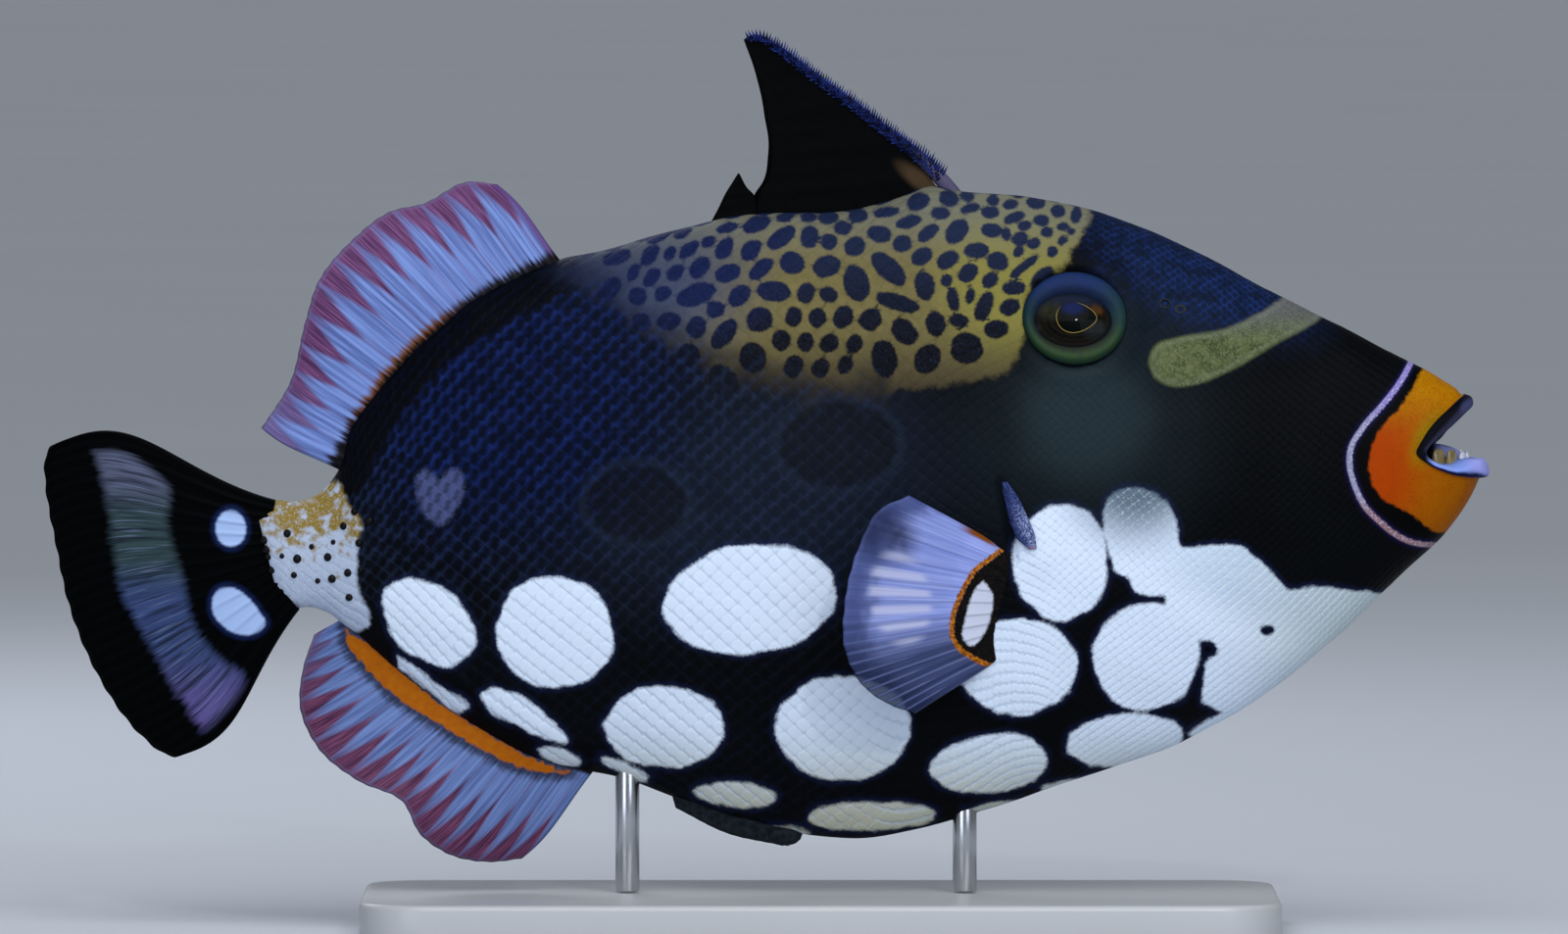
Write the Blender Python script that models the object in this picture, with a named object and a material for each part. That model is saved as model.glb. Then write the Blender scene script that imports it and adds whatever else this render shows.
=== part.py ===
"""Clown triggerfish, life size, as a still museum model on a plain display stand.

Units are metres, +Z is up. The head points to +X and the fish's right side faces -Y.
The origin lies on the floor, under the middle of the fish's length.
Tables of body and fin sizes are written in millimetres and scaled by MM.
"""
import math

import bmesh
import bpy
import numpy as np
from mathutils import Vector

for old in list(bpy.data.objects):
    bpy.data.objects.remove(old, do_unlink=True)

MM = 0.001
GAP = 0.3

# Body stations from the tail stalk to the closed snout, in millimetres:
# upper x, upper z, lower x, lower z, half width, height of the widest place,
# sharpness of the back, sharpness of the belly (1 is an ellipse, more is a keel).
BODY_STATIONS = (
    (-105.0, 88.0, -100.5, 69.5, 3.6, 0.50, 1.00, 1.00),
    (-102.5, 89.6, -98.0, 67.4, 4.4, 0.50, 1.00, 1.00),
    (-96.0, 89.4, -93.6, 67.0, 5.1, 0.50, 1.05, 1.05),
    (-91.4, 91.6, -89.6, 65.6, 5.8, 0.50, 1.08, 1.08),
    (-88.0, 96.2, -86.6, 63.2, 6.6, 0.51, 1.10, 1.10),
    (-85.4, 104.0, -83.0, 60.6, 7.6, 0.51, 1.15, 1.15),
    (-79.9, 112.0, -77.0, 55.2, 9.2, 0.52, 1.15, 1.20),
    (-66.7, 125.6, -64.6, 45.4, 12.6, 0.52, 1.15, 1.25),
    (-50.0, 136.4, -48.4, 36.0, 16.0, 0.53, 1.15, 1.30),
    (-30.0, 142.4, -30.0, 31.9, 19.0, 0.54, 1.12, 1.35),
    (-5.0, 148.7, -5.0, 23.1, 21.4, 0.55, 1.10, 1.38),
    (20.0, 150.2, 20.0, 19.1, 22.6, 0.55, 1.08, 1.38),
    (33.0, 153.4, 32.0, 21.0, 22.9, 0.55, 1.06, 1.37),
    (46.0, 153.4, 45.0, 24.6, 22.8, 0.55, 1.06, 1.35),
    (68.0, 150.0, 66.0, 31.7, 21.8, 0.55, 1.05, 1.30),
    (88.0, 142.3, 86.0, 38.7, 19.4, 0.53, 1.02, 1.22),
    (106.0, 132.8, 104.0, 48.8, 16.8, 0.51, 1.00, 1.15),
    (121.0, 125.3, 119.0, 60.8, 14.2, 0.50, 0.98, 1.08),
    (133.0, 119.0, 132.5, 73.8, 11.8, 0.50, 0.95, 1.00),
    (140.6, 115.0, 142.2, 83.2, 10.0, 0.50, 0.92, 0.95),
    (145.6, 111.2, 147.8, 91.6, 8.0, 0.50, 0.90, 0.92),
    (148.4, 107.6, 149.8, 97.0, 5.4, 0.50, 0.95, 0.95),
    (149.6, 104.4, 150.2, 100.6, 2.2, 0.50, 1.00, 1.00),
)
POINTS_AROUND = 36
RING_SPACING = (
    (0.0, 27.0, 3.0),
    (27.0, 120.0, 7.5),
    (120.0, 222.0, 5.2),
    (222.0, 254.0, 2.7),
)

# Where the body is parted: a point on each plane and a second one, as x and z.
TAIL_CUT = ((-84.2, 108.0), (-79.2, 55.0))
HEAD_CUT = ((48.2, 154.7), (66.5, 30.7))
MOUTH_CENTRE = (144.9, 99.6)
MOUTH_RADIUS = 18.7

# Mouth opening, seen from the side, and the hollow behind it.
MOUTH_CORNER = (137.4, 100.2)
GAPE_UPPER = (152.0, 114.5)
GAPE_LOWER = (153.5, 97.9)
MOUTH_HOLLOW_CENTRE = (138.5, 0.0, 100.8)
MOUTH_HOLLOW_SIZE = (9.0, 5.6, 4.6)
LOWER_LIP = (
    (137.2, 9.6, 98.6, 1.2),
    (141.0, 8.9, 97.8, 2.3),
    (145.2, 7.0, 96.9, 2.6),
    (148.2, 4.2, 96.4, 2.2),
    (149.4, 0.0, 96.3, 2.0),
)
UPPER_LIP = (
    (137.2, 9.6, 101.8, 1.2),
    (140.0, 8.9, 104.4, 1.8),
    (143.0, 7.0, 107.4, 1.9),
    (145.2, 4.2, 109.3, 1.8),
    (146.2, 0.0, 109.9, 1.7),
)
LIP_RINGS = 17
LOWER_TOOTH_TIPS = (
    (140.0, 6.4, 100.6),
    (143.4, 5.6, 100.3),
    (146.0, 3.6, 100.0),
    (147.0, 0.0, 99.9),
)
UPPER_TOOTH_TIPS = (
    (140.8, 6.2, 102.6),
    (142.8, 5.4, 104.2),
    (144.4, 3.4, 105.7),
    (145.2, 0.0, 106.4),
)
TEETH_A_JAW = 8
TOOTH_LENGTH = 5.0
TOOTH_RADIUS = 1.1
TOOTH_LEAN = 0.3
# A tooth's own form: share of its length, share of its radius.
TOOTH_FORM = ((0.0, 1.0), (0.7, 1.0), (0.9, 0.8), (1.0, 0.45))
# Lips and teeth are this much flatter across than they are high.
LIP_FLATNESS = 0.8
TOOTH_FLATNESS = 0.7

# Eye: centre of its ring on the skin, tilt of its axis and sizes of the turned profile.
EYE_CENTRE = (64.8, 127.2)
EYE_SIDE = 17.6
EYE_UP_TILT = 13.0
EYE_FORWARD_TILT = 5.0
EYE_RING_RADIUS = 10.8
EYE_PROFILE = (
    (0.00, 2.9),
    (0.22, 2.75),
    (0.42, 2.2),
    (0.56, 1.35),
    (0.66, 1.25),
    (0.78, 1.75),
    (0.90, 1.5),
    (1.00, 0.2),
    (0.96, -2.2),
    (0.72, -5.4),
    (0.36, -7.0),
    (0.00, -7.4),
)
EYE_SEGMENTS = 24

NOSTRILS = ((83.1, 129.7), (86.4, 129.3))
NOSTRIL_SIZE = (0.75, 1.2, 0.75)
GILL_SLIT = ((49.6, 92.4), (52.6, 78.4))
GILL_SLIT_WIDTH = 0.9
GILL_SLIT_DEPTH = 3.0
GILL_SLIT_RISE = 0.2
GILL_FLAP = ((51.0, 92.0), (56.2, 79.6))
GILL_FLAP_WIDTH = 3.2
GILL_FLAP_THICKNESS = 1.5
GILL_FLAP_SINK = 0.6

# Fins: root line and free margin from the first ray to the last, as x and z;
# then half thickness at the root, at the margin, and height of the ridges on the rays.
# Bow is how far the first and the last ray curve; a wave is height, number and start.
SOFT_DORSAL_ROOT = ((-40.9, 138.6), (-56.5, 130.6), (-70.5, 120.2), (-79.4, 109.6), (-87.4, 95.6))
SOFT_DORSAL_MARGIN = (
    (-55.0, 155.0),
    (-61.0, 155.6),
    (-70.5, 151.0),
    (-77.0, 149.5),
    (-85.0, 143.6),
    (-92.0, 135.0),
    (-94.8, 126.4),
    (-98.0, 114.0),
    (-104.0, 104.4),
)
SOFT_DORSAL_RAYS = 24
SOFT_DORSAL_BOW = (-0.9, 0.8)
SOFT_DORSAL_WAVE = (3.4, 1.15, 0.1)
SOFT_FIN_THICKNESS = (1.25, 0.32, 0.3)
ANAL_ROOT = ((-34.6, 33.2), (-48.4, 37.6), (-60.0, 44.0), (-72.8, 53.4), (-86.4, 64.6))
ANAL_MARGIN = (
    (-50.0, 14.8),
    (-56.5, 14.1),
    (-64.5, 15.6),
    (-71.0, 20.2),
    (-74.6, 27.0),
    (-84.0, 31.4),
    (-92.0, 37.6),
    (-96.0, 45.8),
    (-95.4, 54.5),
    (-93.0, 61.6),
)
ANAL_RAYS = 21
ANAL_BOW = (0.9, 0.0)
ANAL_WAVE = (4.2, 1.25, 0.22)
CAUDAL_ROOT = ((-101.4, 89.6), (-102.8, 82.0), (-101.8, 74.0), (-96.6, 66.8))
CAUDAL_MARGIN = (
    (-149.8, 101.2),
    (-149.2, 91.0),
    (-147.2, 80.0),
    (-144.4, 67.0),
    (-138.6, 52.8),
    (-131.4, 42.0),
    (-122.8, 34.0),
)
CAUDAL_RAYS = 12
CAUDAL_SWING = 13.0
CAUDAL_BOW = (-6.0, 4.0)
CAUDAL_THICKNESS = (2.6, 0.35, 0.35)
PECTORAL_ROOT = ((50.4, 80.4), (51.4, 68.0), (50.0, 56.8))
PECTORAL_MARGIN = (
    (30.2, 91.8),
    (24.0, 89.0),
    (20.0, 82.0),
    (16.9, 70.0),
    (17.0, 60.0),
    (20.6, 52.8),
    (27.0, 48.2),
    (31.5, 46.6),
)
PECTORAL_RAYS = 13
PECTORAL_SPREAD = 38.0
PECTORAL_SINK = 1.8
PECTORAL_BLADE = 0.38
PECTORAL_RIDGE = 0.28
PECTORAL_LOBE = 1.7
PECTORAL_LOBE_REACH = 0.34

# Spiny dorsal: the first spine, its radius, and the sail of skin behind it.
FIRST_SPINE = (
    (42.8, 147.0),
    (40.4, 152.0),
    (33.7, 159.6),
    (25.7, 165.8),
    (17.8, 172.0),
    (9.8, 177.9),
    (2.9, 183.4),
    (-0.6, 185.5),
    (-3.8, 185.0),
)
FIRST_SPINE_RADIUS = (2.5, 0.8)
SPINE_BUMPS = 16
SPINE_FLATNESS = 0.8
SPINE_WAIST = 0.8
SAIL_FRONT = (
    (40.6, 147.0),
    (32.8, 158.6),
    (25.0, 164.8),
    (17.0, 171.2),
    (9.2, 176.9),
    (2.4, 182.4),
    (-3.4, 184.7),
)
SAIL_REAR = (
    (-2.9, 146.0),
    (-1.7, 152.8),
    (0.0, 155.6),
    (1.2, 161.6),
    (0.4, 169.4),
    (-1.6, 178.6),
    (-3.9, 184.9),
)
SAIL_THICKNESS = (0.75, 0.45, 0.15)
REAR_SPINE_FRONT = ((-3.6, 145.0), (-2.6, 150.6), (-2.4, 152.6), (-3.2, 154.2), (-4.7, 157.0))
REAR_SPINE_BACK = ((-12.4, 144.0), (-9.0, 150.4), (-7.4, 153.6), (-6.0, 155.8), (-5.2, 157.2))
REAR_SPINE_THICKNESS = (0.9, 0.45, 0.15)

# Rudiment of the pelvic fins: a rough knob and a low keel behind it.
PELVIC_KEEL_ROOT = ((6.0, 24.0), (-6.0, 26.5), (-20.0, 31.5))
PELVIC_KEEL_EDGE = ((3.4, 17.9), (-7.0, 20.2), (-18.0, 25.6))
PELVIC_KEEL_THICKNESS = (1.9, 0.5, 0.2)
PELVIC_KNOB = (4.6, 0.0, 20.0)
PELVIC_KNOB_SIZE = (3.6, 1.9, 2.2)

# Display stand.
BASE_SIZE = (190.0, 96.0, 8.0)
BASE_CENTRE_X = 12.0
BASE_CORNER = 14.0
BASE_EDGE = 1.5
ROD_RADIUS = 2.5
ROD_PLACES = (-28.0, 42.0)
ROD_SINK = 7.0

COLOURS = {
    "head": (0.012, 0.014, 0.03),
    "mouth": (0.72, 0.23, 0.01),
    "torso": (0.02, 0.022, 0.05),
    "caudal_peduncle": (0.62, 0.58, 0.5),
    "fin": (0.42, 0.40, 0.66),
    "dark_fin": (0.012, 0.012, 0.02),
    "tail_fin": (0.18, 0.17, 0.3),
    "eye": (0.03, 0.05, 0.12),
    "stand": (0.72, 0.72, 0.70),
    "rod": (0.55, 0.56, 0.58),
}


def new_collection(name):
    collection = bpy.data.collections.new(name)
    bpy.context.scene.collection.children.link(collection)
    return collection


PART = new_collection("clown_triggerfish")
CUTTERS = new_collection("cutters")


def smooth_curve(points, places):
    """Points of a smooth curve through the given ones; places run from 0 to 1 by length."""
    points = np.array(points, dtype=float)
    steps = np.linalg.norm(np.diff(points[:, :2], axis=0), axis=1)
    knots = np.concatenate(([0.0], np.cumsum(steps))) / steps.sum()
    slopes = np.diff(points, axis=0) / np.diff(knots)[:, None]
    tangents = np.empty_like(points)
    tangents[0] = slopes[0]
    tangents[-1] = slopes[-1]
    before = np.diff(knots)[:-1, None]
    after = np.diff(knots)[1:, None]
    tangents[1:-1] = (after * slopes[:-1] + before * slopes[1:]) / (before + after)
    places = np.clip(np.asarray(places, dtype=float), 0.0, 1.0)
    span = np.clip(np.searchsorted(knots, places, side="right") - 1, 0, len(knots) - 2)
    width = (knots[span + 1] - knots[span])[:, None]
    t = (places - knots[span])[:, None] / width
    return (
        (2 * t**3 - 3 * t**2 + 1) * points[span]
        + (t**3 - 2 * t**2 + t) * width * tangents[span]
        + (3 * t**2 - 2 * t**3) * points[span + 1]
        + (t**3 - t**2) * width * tangents[span + 1]
    )


def new_material(name, colour, roughness=0.45, metallic=0.0):
    material = bpy.data.materials.new(name)
    material.use_nodes = True
    shader = material.node_tree.nodes["Principled BSDF"]
    shader.inputs["Base Color"].default_value = (*colour, 1.0)
    shader.inputs["Roughness"].default_value = roughness
    shader.inputs["Metallic"].default_value = metallic
    material.diffuse_color = (*colour, 1.0)
    return material


def add_object(name, bm, collection, colour=None, roughness=0.45, metallic=0.0):
    """Turns a bmesh in millimetres into an object in metres."""
    bmesh.ops.scale(bm, vec=(MM, MM, MM), verts=bm.verts)
    mesh = bpy.data.meshes.new(name)
    bm.to_mesh(mesh)
    bm.free()
    obj = bpy.data.objects.new(name, mesh)
    collection.objects.link(obj)
    if collection is CUTTERS:
        obj.hide_render = True
        obj.display_type = "WIRE"
    else:
        mesh.materials.append(new_material(name, COLOURS[colour], roughness, metallic))
    return obj


def take_mesh(obj, collection_of_helpers=()):
    """Replaces an object's mesh by its evaluated one, and removes the helpers that shaped it."""
    depsgraph = bpy.context.evaluated_depsgraph_get()
    mesh = bpy.data.meshes.new_from_object(obj.evaluated_get(depsgraph))
    obj.modifiers.clear()
    obj.data = mesh
    for helper in collection_of_helpers:
        bpy.data.objects.remove(helper, do_unlink=True)


def keep_largest(obj):
    """Keeps only the largest closed surface of an object, in triangles."""
    bm = bmesh.new()
    bm.from_mesh(obj.data)
    bm.faces.ensure_lookup_table()
    unseen = set(bm.faces)
    islands = []
    while unseen:
        stack = [unseen.pop()]
        island = []
        while stack:
            face = stack.pop()
            island.append(face)
            for edge in face.edges:
                for other in edge.link_faces:
                    if other in unseen:
                        unseen.remove(other)
                        stack.append(other)
        islands.append(island)
    islands.sort(key=lambda faces: sum(face.calc_area() for face in faces))
    for island in islands[:-1]:
        bmesh.ops.delete(bm, geom=island, context="FACES")
    bmesh.ops.triangulate(bm, faces=bm.faces)
    bm.to_mesh(obj.data)
    bm.free()


def combine(obj, others, operation, solver="EXACT"):
    """One Boolean of an object with others, which are removed afterwards."""
    group = bpy.data.collections.new("operands")
    bpy.context.scene.collection.children.link(group)
    for other in others:
        group.objects.link(other)
    modifier = obj.modifiers.new("Boolean", "BOOLEAN")
    modifier.operation = operation
    modifier.solver = solver
    modifier.operand_type = "COLLECTION"
    modifier.collection = group
    take_mesh(obj, others)
    bpy.data.collections.remove(group)
    keep_largest(obj)


def body_ring(row, grow):
    """Points around one station of the body, from the back down the right side and up the left."""
    upper = np.array((row[0], row[1]))
    lower = np.array((row[2], row[3]))
    along = (upper - lower) / np.linalg.norm(upper - lower)
    upper = upper + along * grow
    lower = lower - along * grow
    ring = []
    for step in range(POINTS_AROUND):
        angle = 2 * math.pi * step / POINTS_AROUND
        height = math.cos(angle)
        side = math.sin(angle)
        share = row[5] + height * ((1 - row[5]) if height > 0 else row[5])
        sharpness = row[6] if height > 0 else row[7]
        place = lower + (upper - lower) * share
        depth = -math.copysign((row[4] + grow) * abs(side) ** sharpness, side)
        ring.append(Vector((place[0], depth, place[1])))
    return ring


def body_places():
    """Places of the rings along the body, closer together on the head and closest at the mouth."""
    places = []
    for start, end, spacing in RING_SPACING:
        count = round((end - start) / spacing)
        places += [start + (end - start) * step / count for step in range(count)]
    places.append(RING_SPACING[-1][1])
    return [place / RING_SPACING[-1][1] for place in places]


def body_mesh(grow=0.0):
    """The whole body as one closed loft."""
    middles = [((a + c) / 2, (b + d) / 2) for a, b, c, d, *rest in BODY_STATIONS]
    rows = [(*middle, *station) for middle, station in zip(middles, BODY_STATIONS)]
    stations = smooth_curve(rows, body_places())[:, 2:]
    bm = bmesh.new()
    rings = [[bm.verts.new(point) for point in body_ring(row, grow)] for row in stations]
    for first, second in zip(rings, rings[1:]):
        for step in range(POINTS_AROUND):
            following = (step + 1) % POINTS_AROUND
            bm.faces.new((first[step], second[step], second[following]))
            bm.faces.new((first[step], second[following], first[following]))
    for ring, reach in ((rings[0], -0.5 - grow), (rings[-1], 0.3 + grow)):
        middle = sum((vert.co for vert in ring), Vector()) / POINTS_AROUND
        tip = bm.verts.new(middle + Vector((reach, 0, 0)))
        for step in range(POINTS_AROUND):
            bm.faces.new((ring[step], ring[(step + 1) % POINTS_AROUND], tip))
    bmesh.ops.recalc_face_normals(bm, faces=bm.faces)
    return bm


def cut_plane(bm, line, keep_front, gap):
    """Cuts the body by a plane across it and closes the cut, half the gap away from the line."""
    (ax, az), (bx, bz) = line
    normal = Vector((az - bz, 0, bx - ax)).normalized()
    if normal.x < 0:
        normal = -normal
    offset = normal * (gap / 2 if keep_front else -gap / 2)
    cut = bmesh.ops.bisect_plane(
        bm,
        geom=list(bm.verts) + list(bm.edges) + list(bm.faces),
        dist=1e-6,
        plane_co=Vector((ax, 0, az)) + offset,
        plane_no=normal,
        clear_inner=keep_front,
        clear_outer=not keep_front,
    )
    rim = [edge for edge in cut["geom_cut"] if isinstance(edge, bmesh.types.BMEdge)]
    bmesh.ops.contextual_create(bm, geom=rim)
    bmesh.ops.triangulate(bm, faces=bm.faces)
    bmesh.ops.recalc_face_normals(bm, faces=bm.faces)


def skin_side(x, z):
    """Distance of the skin from the middle plane at a place seen from the side."""
    middles = [((a + c) / 2, (b + d) / 2) for a, b, c, d, *rest in BODY_STATIONS]
    rows = [(*middle, *station) for middle, station in zip(middles, BODY_STATIONS)]
    stations = smooth_curve(rows, np.linspace(0, 1, 400))[:, 2:]
    best = min(stations, key=lambda row: abs((row[0] + row[2]) / 2 - x))
    share = (z - best[3]) / (best[1] - best[3])
    height = (share - best[5]) / ((1 - best[5]) if share > best[5] else best[5])
    sharpness = best[6] if share > best[5] else best[7]
    return best[4] * math.sqrt(max(0.0, 1 - height * height)) ** sharpness


def cylinder_across(name, centre, radius, half_length, segments=48):
    """A cylinder along Y through a place seen from the side."""
    bm = bmesh.new()
    bmesh.ops.create_cone(
        bm, cap_ends=True, segments=segments, radius1=radius, radius2=radius, depth=2 * half_length
    )
    bmesh.ops.rotate(bm, verts=bm.verts, matrix=rotation_to(Vector((0, 1, 0))))
    bmesh.ops.translate(bm, verts=bm.verts, vec=Vector((centre[0], 0, centre[1])))
    return add_object(name, bm, CUTTERS)


def rotation_to(direction):
    """Rotation that turns +Z to a direction."""
    return direction.to_track_quat("Z", "Y").to_matrix()


def tube(name, rings, sides, collection, colour=None):
    """A closed tube: each ring is a centre, a direction, a half size across and one upwards."""
    bm = bmesh.new()
    loops = []
    for centre, direction, radius, flat in rings:
        across = Vector((0, 0, 1)).cross(direction).normalized()
        upward = direction.cross(across).normalized()
        loop = []
        for step in range(sides):
            angle = 2 * math.pi * (step + 0.5) / sides
            offset = across * (math.cos(angle) * radius) + upward * (math.sin(angle) * flat)
            loop.append(bm.verts.new(centre + offset))
        loops.append(loop)
    for first, second in zip(loops, loops[1:]):
        for step in range(sides):
            following = (step + 1) % sides
            bm.faces.new((first[step], first[following], second[following], second[step]))
    bm.faces.new(loops[0][::-1])
    bm.faces.new(loops[-1])
    bmesh.ops.triangulate(bm, faces=bm.faces)
    bmesh.ops.recalc_face_normals(bm, faces=bm.faces)
    return add_object(name, bm, collection, colour)


def fin_sheet(root, margin, rays, rows, half_thickness, side, bow=(0.0, 0.0)):
    """A fin as one closed sheet with its rays as ridges on both faces.

    half_thickness and side are functions of the place along the fin and out from its root;
    bow is how far the first and the last ray curve. The two faces are split into triangles alike.
    """
    columns = 2 * rays
    places = np.linspace(0, 1, columns + 1)
    roots = smooth_curve(root, places)
    tips = smooth_curve(margin, places)
    bm = bmesh.new()
    faces = ([], [])
    for column, (foot, tip) in enumerate(zip(roots, tips)):
        on_ray = column % 2 == 0
        line = tip - foot
        normal = np.array((-line[1], line[0])) / np.linalg.norm(line)
        arch = bow[0] + (bow[1] - bow[0]) * places[column]
        lines = ([], [])
        for row in range(rows + 1):
            out = row / rows
            reach = out if on_ray else out * (1 - 0.02 * out)
            flat = foot + line * reach + normal * (arch * math.sin(math.pi * out**1.8))
            middle = side(places[column], out, flat)
            half = half_thickness(places[column], out, on_ray)
            lines[0].append(bm.verts.new((flat[0], middle - half, flat[1])))
            lines[1].append(bm.verts.new((flat[0], middle + half, flat[1])))
        faces[0].append(lines[0])
        faces[1].append(lines[1])
    for face in faces:
        for first, second in zip(face, face[1:]):
            for row in range(rows):
                corners = (first[row], second[row], second[row + 1], first[row + 1])
                bm.faces.new((corners[0], corners[1], corners[2]))
                bm.faces.new((corners[0], corners[2], corners[3]))
    right, left = faces
    for row in range(rows):
        for first, second in ((right[0], left[0]), (right[columns], left[columns])):
            add_strip(bm, first[row], first[row + 1], second[row + 1], second[row])
    for column in range(columns):
        near, far = right[column], right[column + 1]
        near_back, far_back = left[column], left[column + 1]
        for row in (0, rows):
            add_strip(bm, near[row], far[row], far_back[row], near_back[row])
    bmesh.ops.recalc_face_normals(bm, faces=bm.faces)
    return bm


def add_strip(bm, a, b, c, d):
    bm.faces.new((a, b, c))
    bm.faces.new((a, c, d))


def in_line(place, out, flat):
    """A fin that stands in the middle plane."""
    return 0.0


def waving(height, waves, start):
    """Side position of a fin that bends to and fro along its margin."""
    def side(place, out, flat):
        return height * out**1.4 * math.sin(2 * math.pi * (waves * place + start))
    return side


def ray_thickness(root_half, edge_half, ridge):
    """Half thickness that thins from root to margin, with a ridge on each ray."""
    def half(place, out, on_ray):
        base = root_half + (edge_half - root_half) * min(1.0, out * 1.25)
        return base + (ridge * (1 - 0.6 * out) if on_ray else 0.0)
    return half


def make_body():
    """Head, mouth, torso and tail stalk, cut from one body."""
    torso = body_mesh()
    cut_plane(torso, TAIL_CUT, True, GAP)
    cut_plane(torso, HEAD_CUT, False, GAP)
    torso = add_object("torso", torso, PART, "torso")
    stalk = body_mesh()
    cut_plane(stalk, TAIL_CUT, False, GAP)
    add_object("caudal_peduncle", stalk, PART, "caudal_peduncle")
    head = body_mesh()
    cut_plane(head, HEAD_CUT, True, GAP)
    head = add_object("head", head, PART, "head")
    combine(head, [cylinder_across("mouth_cut", MOUTH_CENTRE, MOUTH_RADIUS, 30)], "DIFFERENCE")
    mouth = add_object("mouth", body_mesh(), PART, "mouth")
    combine(mouth, [cylinder_across("mouth_form", MOUTH_CENTRE, MOUTH_RADIUS - GAP, 30)], "INTERSECT")
    return head, mouth, torso


def lip_tube(name, half_line):
    """One lip, from a corner of the mouth round the front to the other corner."""
    right = [Vector((x, -y, z)) for x, y, z, radius in half_line]
    left = [Vector((x, y, z)) for x, y, z, radius in half_line[-2::-1]]
    sizes = [row[3] for row in half_line] + [row[3] for row in half_line[-2::-1]]
    path = [(*point, size) for point, size in zip(right + left, sizes)]
    samples = smooth_curve(path, np.linspace(0, 1, LIP_RINGS))
    centres = [Vector(sample[:3]) for sample in samples]
    rings = []
    for place, sample in enumerate(samples):
        before = centres[max(0, place - 1)]
        after = centres[min(len(centres) - 1, place + 1)]
        direction = (after - before).normalized()
        rings.append((centres[place], direction, sample[3] * LIP_FLATNESS, sample[3]))
    return tube(name, rings, 8, CUTTERS)


def tooth_row(name, half_line, upward):
    """Teeth along a jaw, rooted in it inside the lip; half_line runs through their tips."""
    right = [(x, -y, z) for x, y, z in half_line]
    left = [(x, y, z) for x, y, z in half_line[-2::-1]]
    places = [(step + 0.5) / TEETH_A_JAW for step in range(TEETH_A_JAW)]
    teeth = []
    for step, sample in enumerate(smooth_curve(right + left, places)):
        lean = Vector((TOOTH_LEAN, 0, upward)).normalized()
        foot = Vector(sample) - lean * TOOTH_LENGTH
        rings = []
        for out, share in TOOTH_FORM:
            size = TOOTH_RADIUS * share
            rings.append((foot + lean * (out * TOOTH_LENGTH), lean, size * TOOTH_FLATNESS, size))
        teeth.append(tube(f"{name}_{step}", rings, 6, CUTTERS))
    return teeth


def ellipsoid(name, centre, size, segments=24, rings=12):
    bm = bmesh.new()
    bmesh.ops.create_uvsphere(bm, u_segments=segments, v_segments=rings, radius=1.0)
    bmesh.ops.scale(bm, vec=size, verts=bm.verts)
    bmesh.ops.translate(bm, verts=bm.verts, vec=centre)
    return add_object(name, bm, CUTTERS)


def finish_mouth(mouth):
    """Opens the mouth, hollows it, and adds lips and teeth."""
    corner = MOUTH_CORNER
    bm = bmesh.new()
    outline = [corner, GAPE_UPPER, (GAPE_UPPER[0] + 6, GAPE_LOWER[1] + 8), GAPE_LOWER]
    near = [bm.verts.new((x, -20, z)) for x, z in outline]
    far = [bm.verts.new((x, 20, z)) for x, z in outline]
    bm.faces.new(near)
    bm.faces.new(far[::-1])
    for step in range(len(outline)):
        following = (step + 1) % len(outline)
        bm.faces.new((near[step], near[following], far[following], far[step]))
    bmesh.ops.recalc_face_normals(bm, faces=bm.faces)
    gape = add_object("gape", bm, CUTTERS)
    hollow = ellipsoid("mouth_hollow", MOUTH_HOLLOW_CENTRE, MOUTH_HOLLOW_SIZE)
    combine(mouth, [gape], "DIFFERENCE")
    combine(mouth, [hollow], "DIFFERENCE")
    extras = [lip_tube("lower_lip", LOWER_LIP), lip_tube("upper_lip", UPPER_LIP)]
    extras += tooth_row("lower_tooth", LOWER_TOOTH_TIPS, 1)
    extras += tooth_row("upper_tooth", UPPER_TOOTH_TIPS, -1)
    combine(mouth, extras, "UNION")


def eye_axis(hand):
    up = math.radians(EYE_UP_TILT)
    forward = math.radians(EYE_FORWARD_TILT)
    return Vector((math.sin(forward), hand * math.cos(up) * math.cos(forward), math.sin(up)))


def eye_solid(name, hand, grow, collection, colour=None):
    """The eye as a turned profile; hand is -1 for the right side."""
    bm = bmesh.new()
    loops = []
    for share, height in EYE_PROFILE[1:-1]:
        radius = share * EYE_RING_RADIUS + grow
        rise = height + math.copysign(grow, height)
        loop = []
        for step in range(EYE_SEGMENTS):
            angle = 2 * math.pi * step / EYE_SEGMENTS
            loop.append(bm.verts.new((radius * math.cos(angle), radius * math.sin(angle), rise)))
        loops.append(loop)
    front = bm.verts.new((0, 0, EYE_PROFILE[0][1] + grow))
    back = bm.verts.new((0, 0, EYE_PROFILE[-1][1] - grow))
    for first, second in zip(loops, loops[1:]):
        for step in range(EYE_SEGMENTS):
            following = (step + 1) % EYE_SEGMENTS
            bm.faces.new((first[step], first[following], second[following], second[step]))
    for step in range(EYE_SEGMENTS):
        following = (step + 1) % EYE_SEGMENTS
        bm.faces.new((loops[0][step], loops[0][following], front))
        bm.faces.new((loops[-1][step], loops[-1][following], back))
    bmesh.ops.triangulate(bm, faces=bm.faces)
    bmesh.ops.recalc_face_normals(bm, faces=bm.faces)
    bmesh.ops.rotate(bm, verts=bm.verts, matrix=rotation_to(eye_axis(hand)))
    centre = Vector((EYE_CENTRE[0], hand * EYE_SIDE, EYE_CENTRE[1]))
    bmesh.ops.translate(bm, verts=bm.verts, vec=centre)
    return add_object(name, bm, collection, colour)


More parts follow.
